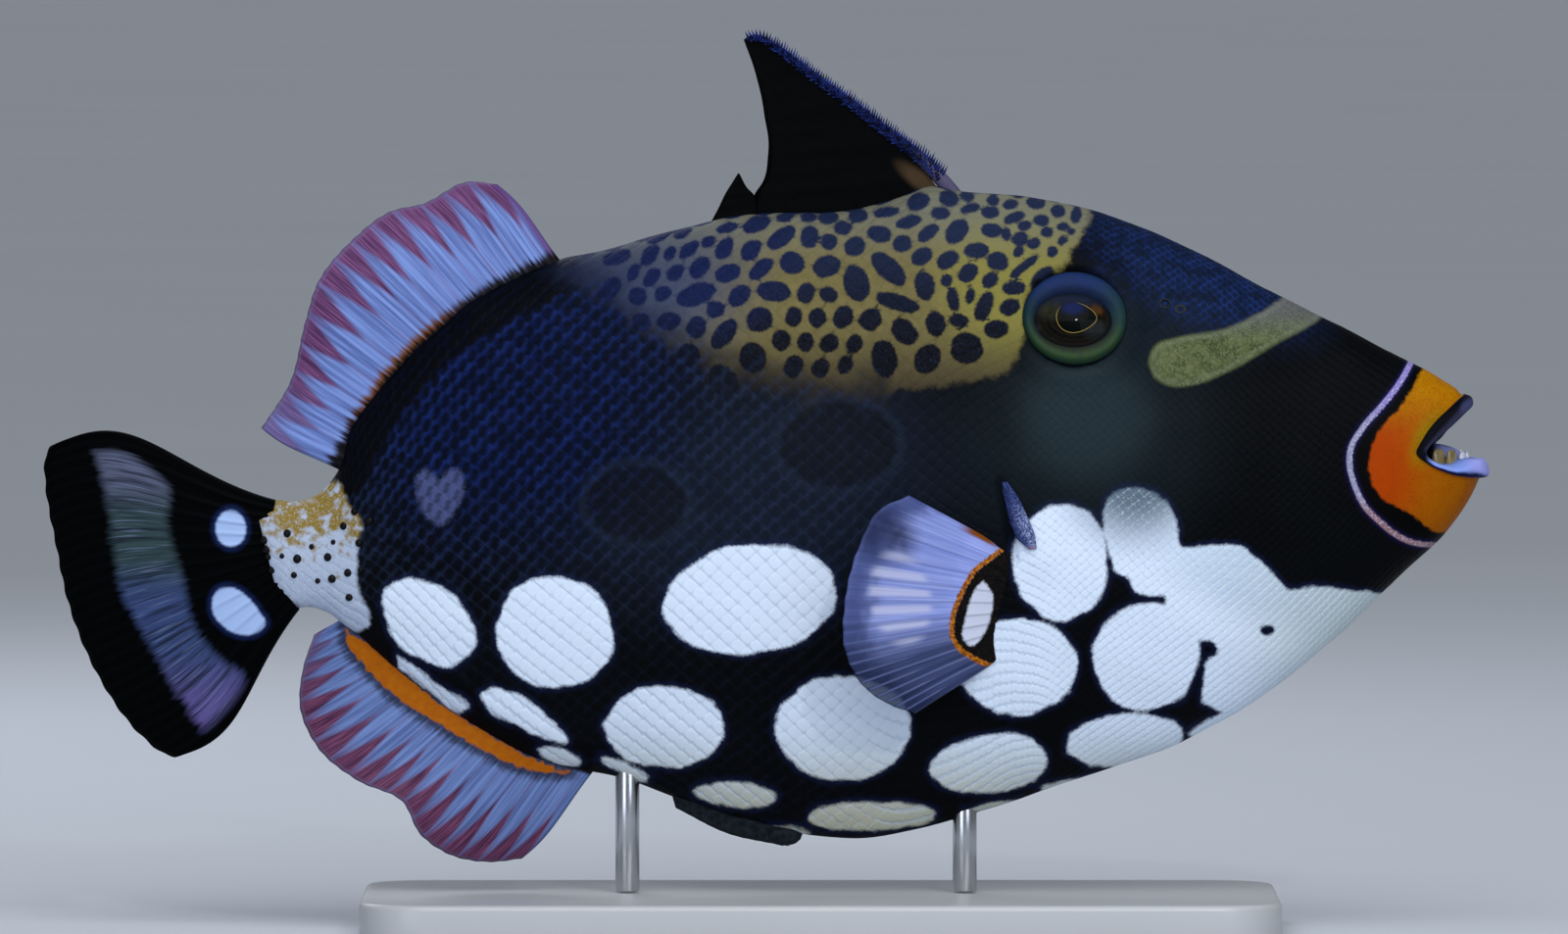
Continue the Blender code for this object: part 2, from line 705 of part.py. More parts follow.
def finish_head(head):
    """Eyes in their sockets, and the nostrils."""
    sockets = []
    for name, hand in (("right", -1), ("left", 1)):
        eye_solid(f"eye_{name}", hand, 0.0, PART, "eye")
        sockets.append(eye_solid(f"socket_{name}", hand, GAP, CUTTERS))
    combine(head, sockets, "DIFFERENCE")
    pits = []
    for hand in (-1, 1):
        for number, (x, z) in enumerate(NOSTRILS):
            centre = (x, hand * skin_side(x, z), z)
            pits.append(ellipsoid(f"nostril_{hand}_{number}", centre, NOSTRIL_SIZE, 8, 6))
    combine(head, pits, "DIFFERENCE")


def leaf(name, line, width, thickness, hand, sink):
    """A flat leaf along a line on the skin, seen from the side."""
    (ax, az), (bx, bz) = line
    length = math.hypot(bx - ax, bz - az)
    middle = ((ax + bx) / 2, (az + bz) / 2)
    bm = bmesh.new()
    bmesh.ops.create_uvsphere(bm, u_segments=12, v_segments=8, radius=1.0)
    bmesh.ops.scale(bm, vec=(width / 2, thickness, length / 2), verts=bm.verts)
    upward = Vector((ax - bx, 0, az - bz)).normalized()
    bmesh.ops.rotate(bm, verts=bm.verts, matrix=rotation_to(upward))
    side = hand * (skin_side(*middle) - sink)
    bmesh.ops.translate(bm, verts=bm.verts, vec=Vector((middle[0], side, middle[1])))
    return add_object(name, bm, CUTTERS)


def finish_torso(torso):
    """Gill slits with their flaps, and the sockets of the stand's rods."""
    flap_form = (GILL_FLAP_WIDTH, GILL_FLAP_THICKNESS)
    slit_form = (GILL_SLIT_WIDTH, GILL_SLIT_DEPTH)
    flaps = []
    slits = []
    for hand in (-1, 1):
        flaps.append(leaf(f"gill_flap_{hand}", GILL_FLAP, *flap_form, hand, GILL_FLAP_SINK))
        slits.append(leaf(f"gill_slit_{hand}", GILL_SLIT, *slit_form, hand, -GILL_SLIT_RISE))
    combine(torso, flaps, "UNION")
    combine(torso, slits, "DIFFERENCE")
    holes = []
    for number, x in enumerate(ROD_PLACES):
        holes.append(rod(f"rod_hole_{number}", x, ROD_RADIUS + GAP, ROD_SINK + GAP, CUTTERS))
    combine(torso, holes, "DIFFERENCE")


def belly_height(x):
    """Height of the belly's lowest line at a place along the body."""
    lower = smooth_curve([(row[2], row[3]) for row in BODY_STATIONS], np.linspace(0, 1, 600))
    return float(min(lower, key=lambda point: abs(point[0] - x))[1])


def rod(name, x, radius, sink, collection, colour=None):
    foot = BASE_SIZE[2] + GAP
    top = belly_height(x) + sink
    bm = bmesh.new()
    depth = top - foot
    bmesh.ops.create_cone(
        bm, cap_ends=True, segments=24, radius1=radius, radius2=radius, depth=depth
    )
    bmesh.ops.translate(bm, verts=bm.verts, vec=Vector((x, 0, foot + depth / 2)))
    return add_object(name, bm, collection, colour, roughness=0.3, metallic=1.0)


def make_soft_fins(body_clear):
    """Soft dorsal and anal fin, both in a gentle sideways wave."""
    thickness = ray_thickness(*SOFT_FIN_THICKNESS)
    fins = (
        ("soft_dorsal_fin", SOFT_DORSAL_ROOT, SOFT_DORSAL_MARGIN, SOFT_DORSAL_RAYS,
         SOFT_DORSAL_WAVE, SOFT_DORSAL_BOW),
        ("anal_fin", ANAL_ROOT, ANAL_MARGIN, ANAL_RAYS, ANAL_WAVE, ANAL_BOW),
    )
    for name, root, margin, rays, wave, bow in fins:
        bm = fin_sheet(root, margin, rays, 6, thickness, waving(*wave), bow)
        cut_by_body(add_object(name, bm, PART, "fin"), body_clear)


def cut_by_body(fin, body_clear):
    """Cuts the sunk root of a fin back to the skin, a gap away from it."""
    cutter = body_clear.copy()
    cutter.data = body_clear.data.copy()
    CUTTERS.objects.link(cutter)
    combine(fin, [cutter], "DIFFERENCE", "MANIFOLD")


def make_caudal_fin(body_clear):
    def swing(place, out, flat):
        return CAUDAL_SWING * out**1.6

    thickness = ray_thickness(*CAUDAL_THICKNESS)
    fin = fin_sheet(CAUDAL_ROOT, CAUDAL_MARGIN, CAUDAL_RAYS, 8, thickness, swing, CAUDAL_BOW)
    fin = add_object("caudal_fin", fin, PART, "tail_fin")
    cut_by_body(fin, body_clear)


def make_pectoral_fins(body_clear):
    spread = math.tan(math.radians(PECTORAL_SPREAD))

    def half(place, out, on_ray):
        flesh = PECTORAL_LOBE * max(0.0, 1 - (out / PECTORAL_LOBE_REACH) ** 2)
        return PECTORAL_BLADE + flesh + (PECTORAL_RIDGE * (1 - 0.6 * out) if on_ray else 0.0)

    def side(place, out, flat):
        foot = smooth_curve(PECTORAL_ROOT, [place])[0]
        away = spread * (foot[0] - flat[0]) * (0.75 + 0.25 * out)
        return -(skin_side(*foot) - PECTORAL_SINK + away)

    for name, hand in (("right", 1), ("left", -1)):
        bm = fin_sheet(PECTORAL_ROOT, PECTORAL_MARGIN, PECTORAL_RAYS, 6, half, side)
        bmesh.ops.scale(bm, vec=(1, hand, 1), verts=bm.verts)
        bmesh.ops.recalc_face_normals(bm, faces=bm.faces)
        fin = add_object(f"pectoral_fin_{name}", bm, PART, "fin")
        cut_by_body(fin, body_clear)


def make_spiny_dorsal(body_clear):
    """First spine with its rough front, the black sail behind it, and the low rear spine."""
    count = 2 * SPINE_BUMPS
    line = smooth_curve(FIRST_SPINE, np.linspace(0, 1, count + 1))
    rings = []
    for step, (x, z) in enumerate(line):
        before = line[max(0, step - 1)]
        after = line[min(count, step + 1)]
        direction = Vector((after[0] - before[0], 0, after[1] - before[1])).normalized()
        out = step / count
        thick = FIRST_SPINE_RADIUS[0] + (FIRST_SPINE_RADIUS[1] - FIRST_SPINE_RADIUS[0]) * out
        thick *= 1.0 if step % 2 else SPINE_WAIST
        rings.append((Vector((x, 0, z)), direction, thick * SPINE_FLATNESS, thick))
    spine = tube("spiny_dorsal_fin", rings, 8, PART, "dark_fin")

    sail = fin_sheet(SAIL_FRONT, SAIL_REAR, 7, 5, ray_thickness(*SAIL_THICKNESS), in_line)
    combine(spine, [add_object("sail", sail, CUTTERS)], "UNION", "MANIFOLD")
    thickness = ray_thickness(*REAR_SPINE_THICKNESS)
    rear = fin_sheet(REAR_SPINE_FRONT, REAR_SPINE_BACK, 4, 3, thickness, in_line)
    rear = add_object("rear_dorsal_spine", rear, PART, "dark_fin")
    for fin in (spine, rear):
        cut_by_body(fin, body_clear)


def make_pelvic_spine(body_clear):
    thickness = ray_thickness(*PELVIC_KEEL_THICKNESS)
    keel = fin_sheet(PELVIC_KEEL_ROOT, PELVIC_KEEL_EDGE, 6, 3, thickness, in_line)
    keel = add_object("pelvic_spine", keel, PART, "dark_fin")
    knob = ellipsoid("knob", PELVIC_KNOB, PELVIC_KNOB_SIZE, 12, 8)
    combine(keel, [knob], "UNION", "MANIFOLD")
    cut_by_body(keel, body_clear)


def make_stand():
    bm = bmesh.new()
    bmesh.ops.create_cube(bm, size=1.0)
    bmesh.ops.scale(bm, vec=BASE_SIZE, verts=bm.verts)
    upright = [edge for edge in bm.edges if abs(edge.verts[0].co.z - edge.verts[1].co.z) > 1]
    bmesh.ops.bevel(bm, geom=upright, offset=BASE_CORNER, segments=8, profile=0.5, affect="EDGES")
    rim = [edge for edge in bm.edges if min(vert.co.z for vert in edge.verts) > BASE_SIZE[2] / 2 - 0.01]
    bmesh.ops.bevel(bm, geom=rim, offset=BASE_EDGE, segments=3, profile=0.5, affect="EDGES")
    bmesh.ops.translate(bm, verts=bm.verts, vec=Vector((BASE_CENTRE_X, 0, BASE_SIZE[2] / 2)))
    bmesh.ops.triangulate(bm, faces=bm.faces)
    add_object("stand_base", bm, PART, "stand")
    for name, x in zip(("rear", "front"), ROD_PLACES):
        rod(f"stand_rod_{name}", x, ROD_RADIUS, ROD_SINK, PART, "rod")


head, mouth, torso = make_body()
finish_mouth(mouth)
finish_head(head)
finish_torso(torso)
body_clear = add_object("body_clear", body_mesh(GAP), CUTTERS)
make_soft_fins(body_clear)
make_caudal_fin(body_clear)
make_pectoral_fins(body_clear)
make_spiny_dorsal(body_clear)
make_pelvic_spine(body_clear)
make_stand()
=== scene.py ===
"""Looks of the clown triggerfish model: hide, scales, eyes, mouth, fins and display stand.

Sizes are in millimetres until a mesh is made. The head points to +X and the right side faces -Y.
"""
import math

import bpy
import numpy as np
from mathutils import Matrix, Vector


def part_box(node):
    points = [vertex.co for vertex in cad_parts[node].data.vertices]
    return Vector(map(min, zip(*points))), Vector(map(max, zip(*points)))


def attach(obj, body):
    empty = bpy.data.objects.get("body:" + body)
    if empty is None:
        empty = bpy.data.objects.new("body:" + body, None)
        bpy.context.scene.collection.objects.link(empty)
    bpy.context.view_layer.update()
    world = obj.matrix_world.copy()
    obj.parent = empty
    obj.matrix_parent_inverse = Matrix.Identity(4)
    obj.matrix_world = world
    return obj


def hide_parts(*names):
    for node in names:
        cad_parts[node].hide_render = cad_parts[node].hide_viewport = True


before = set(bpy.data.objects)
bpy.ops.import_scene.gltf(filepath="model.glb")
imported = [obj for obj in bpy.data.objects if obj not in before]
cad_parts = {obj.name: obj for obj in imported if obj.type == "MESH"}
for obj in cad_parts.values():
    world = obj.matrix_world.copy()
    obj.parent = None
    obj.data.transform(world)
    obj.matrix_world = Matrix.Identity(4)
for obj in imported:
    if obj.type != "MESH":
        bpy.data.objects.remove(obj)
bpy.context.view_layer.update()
MM = 0.001

# Camera: a very long lens level with the fish's flank, from its right side, with the photo's framing.
# The view is 325.2 mm wide at the middle plane, and its centre lies at x 4.5 mm, z 96.4 mm.
camera_data = bpy.data.cameras.new("camera")
SENSOR_WIDTH = 36.0
VIEW_WIDTH = 0.3252
VIEW_DISTANCE = 4.0
camera_data.sensor_width = SENSOR_WIDTH
camera_data.lens = SENSOR_WIDTH * VIEW_DISTANCE / VIEW_WIDTH
camera = bpy.data.objects.new("camera", camera_data)
bpy.context.scene.collection.objects.link(camera)
aim = Vector((0.0045, 0.0, 0.0964))
rise = math.radians(2.0)
camera.location = aim + Vector((0.0, -math.cos(rise), math.sin(rise))) * VIEW_DISTANCE
camera.rotation_euler = (aim - camera.location).to_track_quat("-Z", "Y").to_euler()
bpy.context.scene.camera = camera
bpy.context.scene.view_settings.view_transform = "Standard"


# Hide of head, body and tail stalk: one tough skin with no seam, drawn over the flesh and
# running over the lips into the mouth. It is a grid rolled round the body's stations, because
# the lips, the eye sockets and the taper of the stalk follow curves that no primitive has.
# Stations from the tail stalk to the snout: upper x and z, lower x and z, half width,
# height of the widest place, sharpness of the back, sharpness of the belly.
STATIONS = (
    (-105.0, 88.0, -100.5, 69.5, 3.6, 0.50, 1.00, 1.00),
    (-102.5, 89.6, -98.0, 67.4, 4.4, 0.50, 1.00, 1.00),
    (-96.0, 89.4, -93.6, 67.0, 5.1, 0.50, 1.05, 1.05),
    (-91.4, 91.6, -89.6, 65.6, 5.8, 0.50, 1.08, 1.08),
    (-88.0, 96.2, -86.6, 63.2, 6.6, 0.51, 1.10, 1.10),
    (-85.4, 104.0, -83.0, 60.6, 7.6, 0.51, 1.15, 1.15),
    (-79.9, 112.0, -77.0, 55.2, 9.2, 0.52, 1.15, 1.20),
    (-66.7, 125.6, -64.6, 45.4, 12.6, 0.52, 1.15, 1.25),
    (-50.0, 136.4, -48.4, 36.0, 16.0, 0.53, 1.15, 1.30),
    (-30.0, 142.4, -30.0, 31.9, 19.0, 0.54, 1.12, 1.35),
    (-5.0, 148.7, -5.0, 23.1, 21.4, 0.55, 1.10, 1.38),
    (20.0, 150.2, 20.0, 19.1, 22.6, 0.55, 1.08, 1.38),
    (33.0, 153.4, 32.0, 21.0, 22.9, 0.55, 1.06, 1.37),
    (46.0, 153.4, 45.0, 24.6, 22.8, 0.55, 1.06, 1.35),
    (68.0, 150.0, 66.0, 31.7, 21.8, 0.55, 1.05, 1.30),
    (88.0, 142.3, 86.0, 38.7, 19.4, 0.53, 1.02, 1.22),
    (106.0, 132.8, 104.0, 48.8, 16.8, 0.51, 1.00, 1.15),
    (121.0, 125.3, 119.0, 60.8, 14.2, 0.50, 0.98, 1.08),
    (133.0, 119.0, 132.5, 73.8, 11.8, 0.50, 0.95, 1.00),
    (140.6, 115.0, 142.2, 83.2, 10.0, 0.50, 0.92, 0.95),
    (145.6, 111.2, 147.8, 91.6, 8.0, 0.50, 0.90, 0.92),
    (148.4, 107.6, 149.8, 97.0, 5.4, 0.50, 0.95, 0.95),
    (149.6, 104.4, 150.2, 100.6, 2.2, 0.50, 1.00, 1.00),
)
AROUND = 200
BODY_RINGS = 372
MUZZLE_RINGS = 26
LIP_RINGS = 12
LINING_RINGS = 9
MUZZLE_START = 0.925
SKIN_SINK = 0.2
# Rings of the grid, the share of the length where the muzzle starts, and the skin's depth under the flesh.
# Seen from the side: outer edge of the lips, then the line where they meet the open mouth.
LIP_OUTER_UPPER = ((134.6, 99.4), (135.5, 101.0), (137.2, 104.1), (139.4, 106.7), (144.0, 110.7), (150.6, 115.4))
LIP_OUTER_LOWER = (
    (134.6, 99.4), (136.4, 98.2), (138.2, 96.9), (140.6, 95.8), (143.1, 94.8), (147.0, 94.2), (154, 94.4),
)
LIP_INNER_UPPER = ((137.0, 99.6), (138.0, 101.0), (142.0, 104.5), (145.4, 107.6), (152, 113.4))
LIP_INNER_LOWER = (
    (137.0, 99.6), (138.4, 98.2), (140.5, 97.2), (143.4, 96.7), (145.6, 97.0), (147.4, 98.0), (154, 98.2),
)
LIP_RISE_UPPER = 0.9
LIP_RISE_LOWER = 1.5
THROAT = (131.0, 0.0, 99.6)
EYE_CENTRE = (64.5, 17.6, 127.7)
EYE_UP_TILT = 13.0
EYE_FORWARD_TILT = 5.0


def smooth_curve(points, places):
    """Points of a smooth curve through the given ones; places run from 0 to 1 by length."""
    points = np.array(points, dtype=float)
    steps = np.linalg.norm(np.diff(points[:, :2], axis=0), axis=1)
    knots = np.concatenate(([0.0], np.cumsum(steps))) / steps.sum()
    slopes = np.diff(points, axis=0) / np.diff(knots)[:, None]
    tangents = np.empty_like(points)
    tangents[0] = slopes[0]
    tangents[-1] = slopes[-1]
    before = np.diff(knots)[:-1, None]
    after = np.diff(knots)[1:, None]
    tangents[1:-1] = (after * slopes[:-1] + before * slopes[1:]) / (before + after)
    places = np.clip(np.asarray(places, dtype=float), 0.0, 1.0)
    span = np.clip(np.searchsorted(knots, places, side="right") - 1, 0, len(knots) - 2)
    width = (knots[span + 1] - knots[span])[..., None]
    t = (places - knots[span])[..., None] / width
    return (
        (2 * t**3 - 3 * t**2 + 1) * points[span]
        + (t**3 - 2 * t**2 + t) * width * tangents[span]
        + (3 * t**2 - 2 * t**3) * points[span + 1]
        + (t**3 - t**2) * width * tangents[span + 1]
    )


station_rows = np.array(STATIONS)
station_table = np.hstack(((station_rows[:, 0:2] + station_rows[:, 2:4]) / 2, station_rows))


def flesh_points(along, angle):
    """Places on the smooth flesh: along runs from stalk to snout, angle from the back down the right side."""
    rows = smooth_curve(station_table, along)[..., 2:]
    height = np.cos(angle)
    side = np.sin(angle)
    share = rows[..., 5] + height * np.where(height > 0, 1 - rows[..., 5], rows[..., 5])
    sharpness = np.where(height > 0, rows[..., 6], rows[..., 7])
    place = rows[..., 2:4] + (rows[..., 0:2] - rows[..., 2:4]) * share[..., None]
    depth = -np.sign(side) * rows[..., 4] * np.abs(side) ** sharpness
    return np.stack((place[..., 0], depth, place[..., 1]), axis=-1)


def smooth_ring(ring, turns):
    """Evens out values round a ring whose last one repeats the first."""
    ring = ring[:-1]
    for _ in range(turns):
        ring = (np.roll(ring, 1, axis=0) + 2 * ring + np.roll(ring, -1, axis=0)) / 4
    return np.concatenate((ring, ring[:1]))


def mouth_edge(upper, lower):
    """How far along each line of the hide the mouth's edge is met."""
    along = np.linspace(MUZZLE_START, 1.0, 900)[:, None]
    points = flesh_points(*np.broadcast_arrays(along, angles[None, :]))
    x, z = points[..., 0], points[..., 2]
    ceiling, floor_line = np.interp(x, *np.array(upper).T), np.interp(x, *np.array(lower).T)
    inside = (x > upper[0][0]) & (z < ceiling) & (z > floor_line)
    return smooth_ring(along[np.argmax(inside, axis=0), 0], 2)


angles = np.linspace(0, 2 * np.pi, AROUND + 1)
outer_edge = mouth_edge(LIP_OUTER_UPPER, LIP_OUTER_LOWER)
LEAST_LIP = 0.004
inner_edge = np.maximum(mouth_edge(LIP_INNER_UPPER, LIP_INNER_LOWER), outer_edge + LEAST_LIP)
muzzle_share = np.arange(1, MUZZLE_RINGS + 1)[:, None] / MUZZLE_RINGS
lip_share = np.arange(1, LIP_RINGS + 1)[:, None] / LIP_RINGS
ring_places = np.vstack((
    np.linspace(0, MUZZLE_START, BODY_RINGS)[:, None] * np.ones(AROUND + 1),
    MUZZLE_START + (outer_edge - MUZZLE_START) * muzzle_share,
    outer_edge + (inner_edge - outer_edge) * lip_share,
))
hide = flesh_points(ring_places, np.broadcast_to(angles, ring_places.shape))


def grid_normals(points):
    """Outward directions of a rolled grid whose last column repeats the first."""
    down = np.gradient(points, axis=0)
    padded = np.concatenate((points[:, -2:-1], points, points[:, 1:2]), axis=1)
    normals = np.cross(down, padded[:, 2:] - padded[:, :-2])
    normals /= np.maximum(np.linalg.norm(normals, axis=-1, keepdims=True), 1e-9)
    outwards = np.sum(normals * (points - points.mean(axis=1, keepdims=True))) > 0
    return normals if outwards else -normals


def segment_distance(x, z, start, end):
    """Distance from places to a straight line between two points, all seen from the side."""
    sx, sz = end[0] - start[0], end[1] - start[1]
    t = np.clip(((x - start[0]) * sx + (z - start[1]) * sz) / (sx * sx + sz * sz), 0, 1)
    return np.hypot(x - start[0] - t * sx, z - start[1] - t * sz)


def hide_relief(points):
    """Rise of the living skin over the smooth flesh, in millimetres."""
    x, y, z = points[..., 0], np.abs(points[..., 1]), points[..., 2]
    eye = np.hypot(x - EYE_CENTRE[0], z - EYE_CENTRE[2])
    flank = y > 6
    # The rim of the eye socket, its floor, the groove before the eye and the gill slit.
    rise = np.full(x.shape, -SKIN_SINK)
    rise += flank * 0.5 * np.exp(-(((eye - 12.6) / 2.2) ** 2))
    rise -= flank * 4.5 * np.clip((10.4 - eye) / 2.0, 0, 1) ** 1.5
    rise -= flank * 0.45 * np.exp(-((segment_distance(x, z, (76.5, 124.5), (82.5, 125.6)) / 1.3) ** 2))
    rise -= flank * 1.5 * np.exp(-((segment_distance(x, z, (49.0, 94.4), (52.0, 79.0)) / 0.8) ** 2))
    rise += flank * 0.5 * np.exp(-((segment_distance(x, z, (53.4, 96.0), (57.6, 78.0)) / 3.0) ** 2))
    # The cheek's hollow, the jaw muscle before it, and the hollow above the jaw.
    rise -= flank * 0.5 * np.exp(-(((x - 74) / 12) ** 2) - ((z - 96) / 20) ** 2)
    rise += flank * 0.5 * np.exp(-(((x - 100) / 14) ** 2) - ((z - 92) / 16) ** 2)
    rise -= flank * 0.4 * np.exp(-((segment_distance(x, z, (80, 110), (118, 118)) / 3.5) ** 2))
    # Fleshy feet of the soft dorsal and anal fins, the skin's fold at the spine, and faint waves.
    rise += 0.5 * np.exp(-((segment_distance(x, z, (-84, 104), (-60, 128)) / 3.2) ** 2))
    rise += 0.5 * np.exp(-((segment_distance(x, z, (-60, 128), (-40, 137)) / 3.2) ** 2))
    rise += 0.4 * np.exp(-((segment_distance(x, z, (-80, 60), (-38, 37)) / 3.0) ** 2))
    rise += 1.5 * np.exp(-(((x - 34.8) / 4.2) ** 2) - ((z - 152) / 5) ** 2)
    rise += 0.10 * np.sin(x * 0.31 + z * 0.17) * np.sin(z * 0.27 - x * 0.11 + 1.0)
    return rise


lip_start = BODY_RINGS + MUZZLE_RINGS
rise = hide_relief(hide)
rise[lip_start - 2:lip_start] -= 0.15
hide_out = grid_normals(hide)
edge_normals = smooth_ring(hide_out[lip_start - 2], 6)
edge_normals /= np.linalg.norm(edge_normals, axis=1, keepdims=True)
lower_jaw = np.clip((-np.cos(angles) + 0.25) / 0.5, 0, 1)
lip_height = LIP_RISE_UPPER + (LIP_RISE_LOWER - LIP_RISE_UPPER) * lower_jaw
lip_height *= 0.45 + 0.55 * np.abs(np.cos(angles)) ** 0.5
hide = hide + hide_out * rise[..., None]
hide[lip_start:] += edge_normals * (lip_height * np.sin(lip_share * np.pi) ** 0.7)[..., None]
throat = np.array(THROAT) + np.stack((0 * angles, -3.2 * np.sin(angles), 1.4 * np.cos(angles)), axis=1)
lining = []
for step in range(1, LINING_RINGS + 1):
    share = step / LINING_RINGS
    fold = edge_normals * (0.9 * math.sin(math.pi * min(1, share * 1.5)))
    lining.append(hide[-1] + (throat - hide[-1]) * share**1.25 - fold)
lining.append(np.broadcast_to(np.array(THROAT) - (1.5, 0, 0), hide[-1].shape))
stalk_end = np.broadcast_to(hide[0].mean(axis=0), hide[:1].shape)
hide = np.concatenate((stalk_end, hide, lining))
lip = np.zeros(hide.shape[:2])
lip[1 + lip_start:1 + lip_start + LIP_RINGS] = lip_share
lip[1 + lip_start + LIP_RINGS:] = 1.0 + np.arange(1, len(lining) + 1)[:, None]
hide_out = grid_normals(hide)


# Markings, as distances in millimetres to the edge of each named patch: less than 0 is inside.
# White spots: centre x and z, half axes, tilt in degrees; the later ones are thin rows on the belly.
WHITE_SPOTS = (
    (-69.1, 64.6, 10.8, 7.6, -40), (-42.9, 62.6, 12.2, 11.6, -20), (-2.6, 69.7, 17.9, 11.2, 8),
    (-20.3, 42.9, 12.4, 8.4, 0), (16.7, 42.9, 14.0, 11.0, 0), (52.8, 55.7, 12.4, 10.0, 0),
    (61.6, 77.4, 9.8, 12.0, 0), (79.4, 57.7, 11.0, 11.2, 0), (46.9, 35.1, 12.0, 6.2, 5),
    (75.0, 39.8, 12.2, 5.7, 5), (98.4, 44.7, 10.6, 2.0, 22), (22.8, 24.2, 13.0, 3.3, 2),
    (-5.7, 28.6, 8.7, 2.8, -4), (48.2, 26.0, 5.7, 1.2, 8), (63.4, 30.7, 5.3, 1.0, 12),
    (6.1, 20.9, 4.1, 1.0, -10), (-28.8, 34.0, 5.2, 1.2, -25),
)
WHITE_LEAVES = (
    (
        (-75.6, 57.2), (-72.2, 55.4), (-66.9, 51.2), (-61.0, 46.6), (-62.3, 45.6), (-67.8, 49.2), (-72.6, 52.8),
        (-75.3, 55.4),
    ),
    (
        (-58.3, 49.4), (-56.4, 50.4), (-52.1, 50.0), (-45.7, 46.2), (-40.4, 39.5), (-45.7, 40.4), (-51.4, 43.0),
        (-56.0, 45.8),
    ),
    ((-46.7, 38.1), (-44.3, 38.4), (-40.0, 37.3), (-37.9, 35.4), (-38.9, 34.3), (-42.9, 35.1), (-45.7, 36.6)),
)
THROAT_PATCH = (
    (71.1, 90.6), (75.6, 93.1), (80.7, 91.6), (84.8, 86.6), (86.6, 80.3), (91.9, 80.9),
    (98.4, 80.3), (103.0, 77.8), (106.5, 73.3), (108.5, 71.3), (115.2, 72.1), (121.3, 71.3),
    (128.9, 69.9), (126.4, 62.0), (114.2, 52.0), (104.1, 47.0), (93.9, 46.2), (91.4, 48.4),
    (90.8, 52.0), (91.8, 56.0), (94.0, 60.4), (88.6, 61.4), (84.6, 63.0), (83.2, 66.6), (83.2, 70.4),
    (78.8, 70.6), (76.8, 71.4), (75.4, 74.4), (72.8, 75.6), (71.4, 78.6), (70.9, 83.0), (70.8, 87.6),
)
SADDLE = (
    (42.1, 158.0), (57.3, 158.0), (68.5, 152.0), (65.0, 142.5), (61.6, 137.5), (55.5, 134.3), (54.5, 126.2),
    (49.6, 116.0), (44.0, 115.0), (36.0, 113.6), (30.9, 113.4), (27.8, 113.0), (25.4, 111.6), (14.6, 108.6),
    (2.4, 110.4), (-7.7, 112.4), (-17.9, 118.7), (-28.0, 124.9), (-36.4, 129.3), (-45.3, 134.3), (-42.0, 150.0),
    (14.6, 160.0),
)
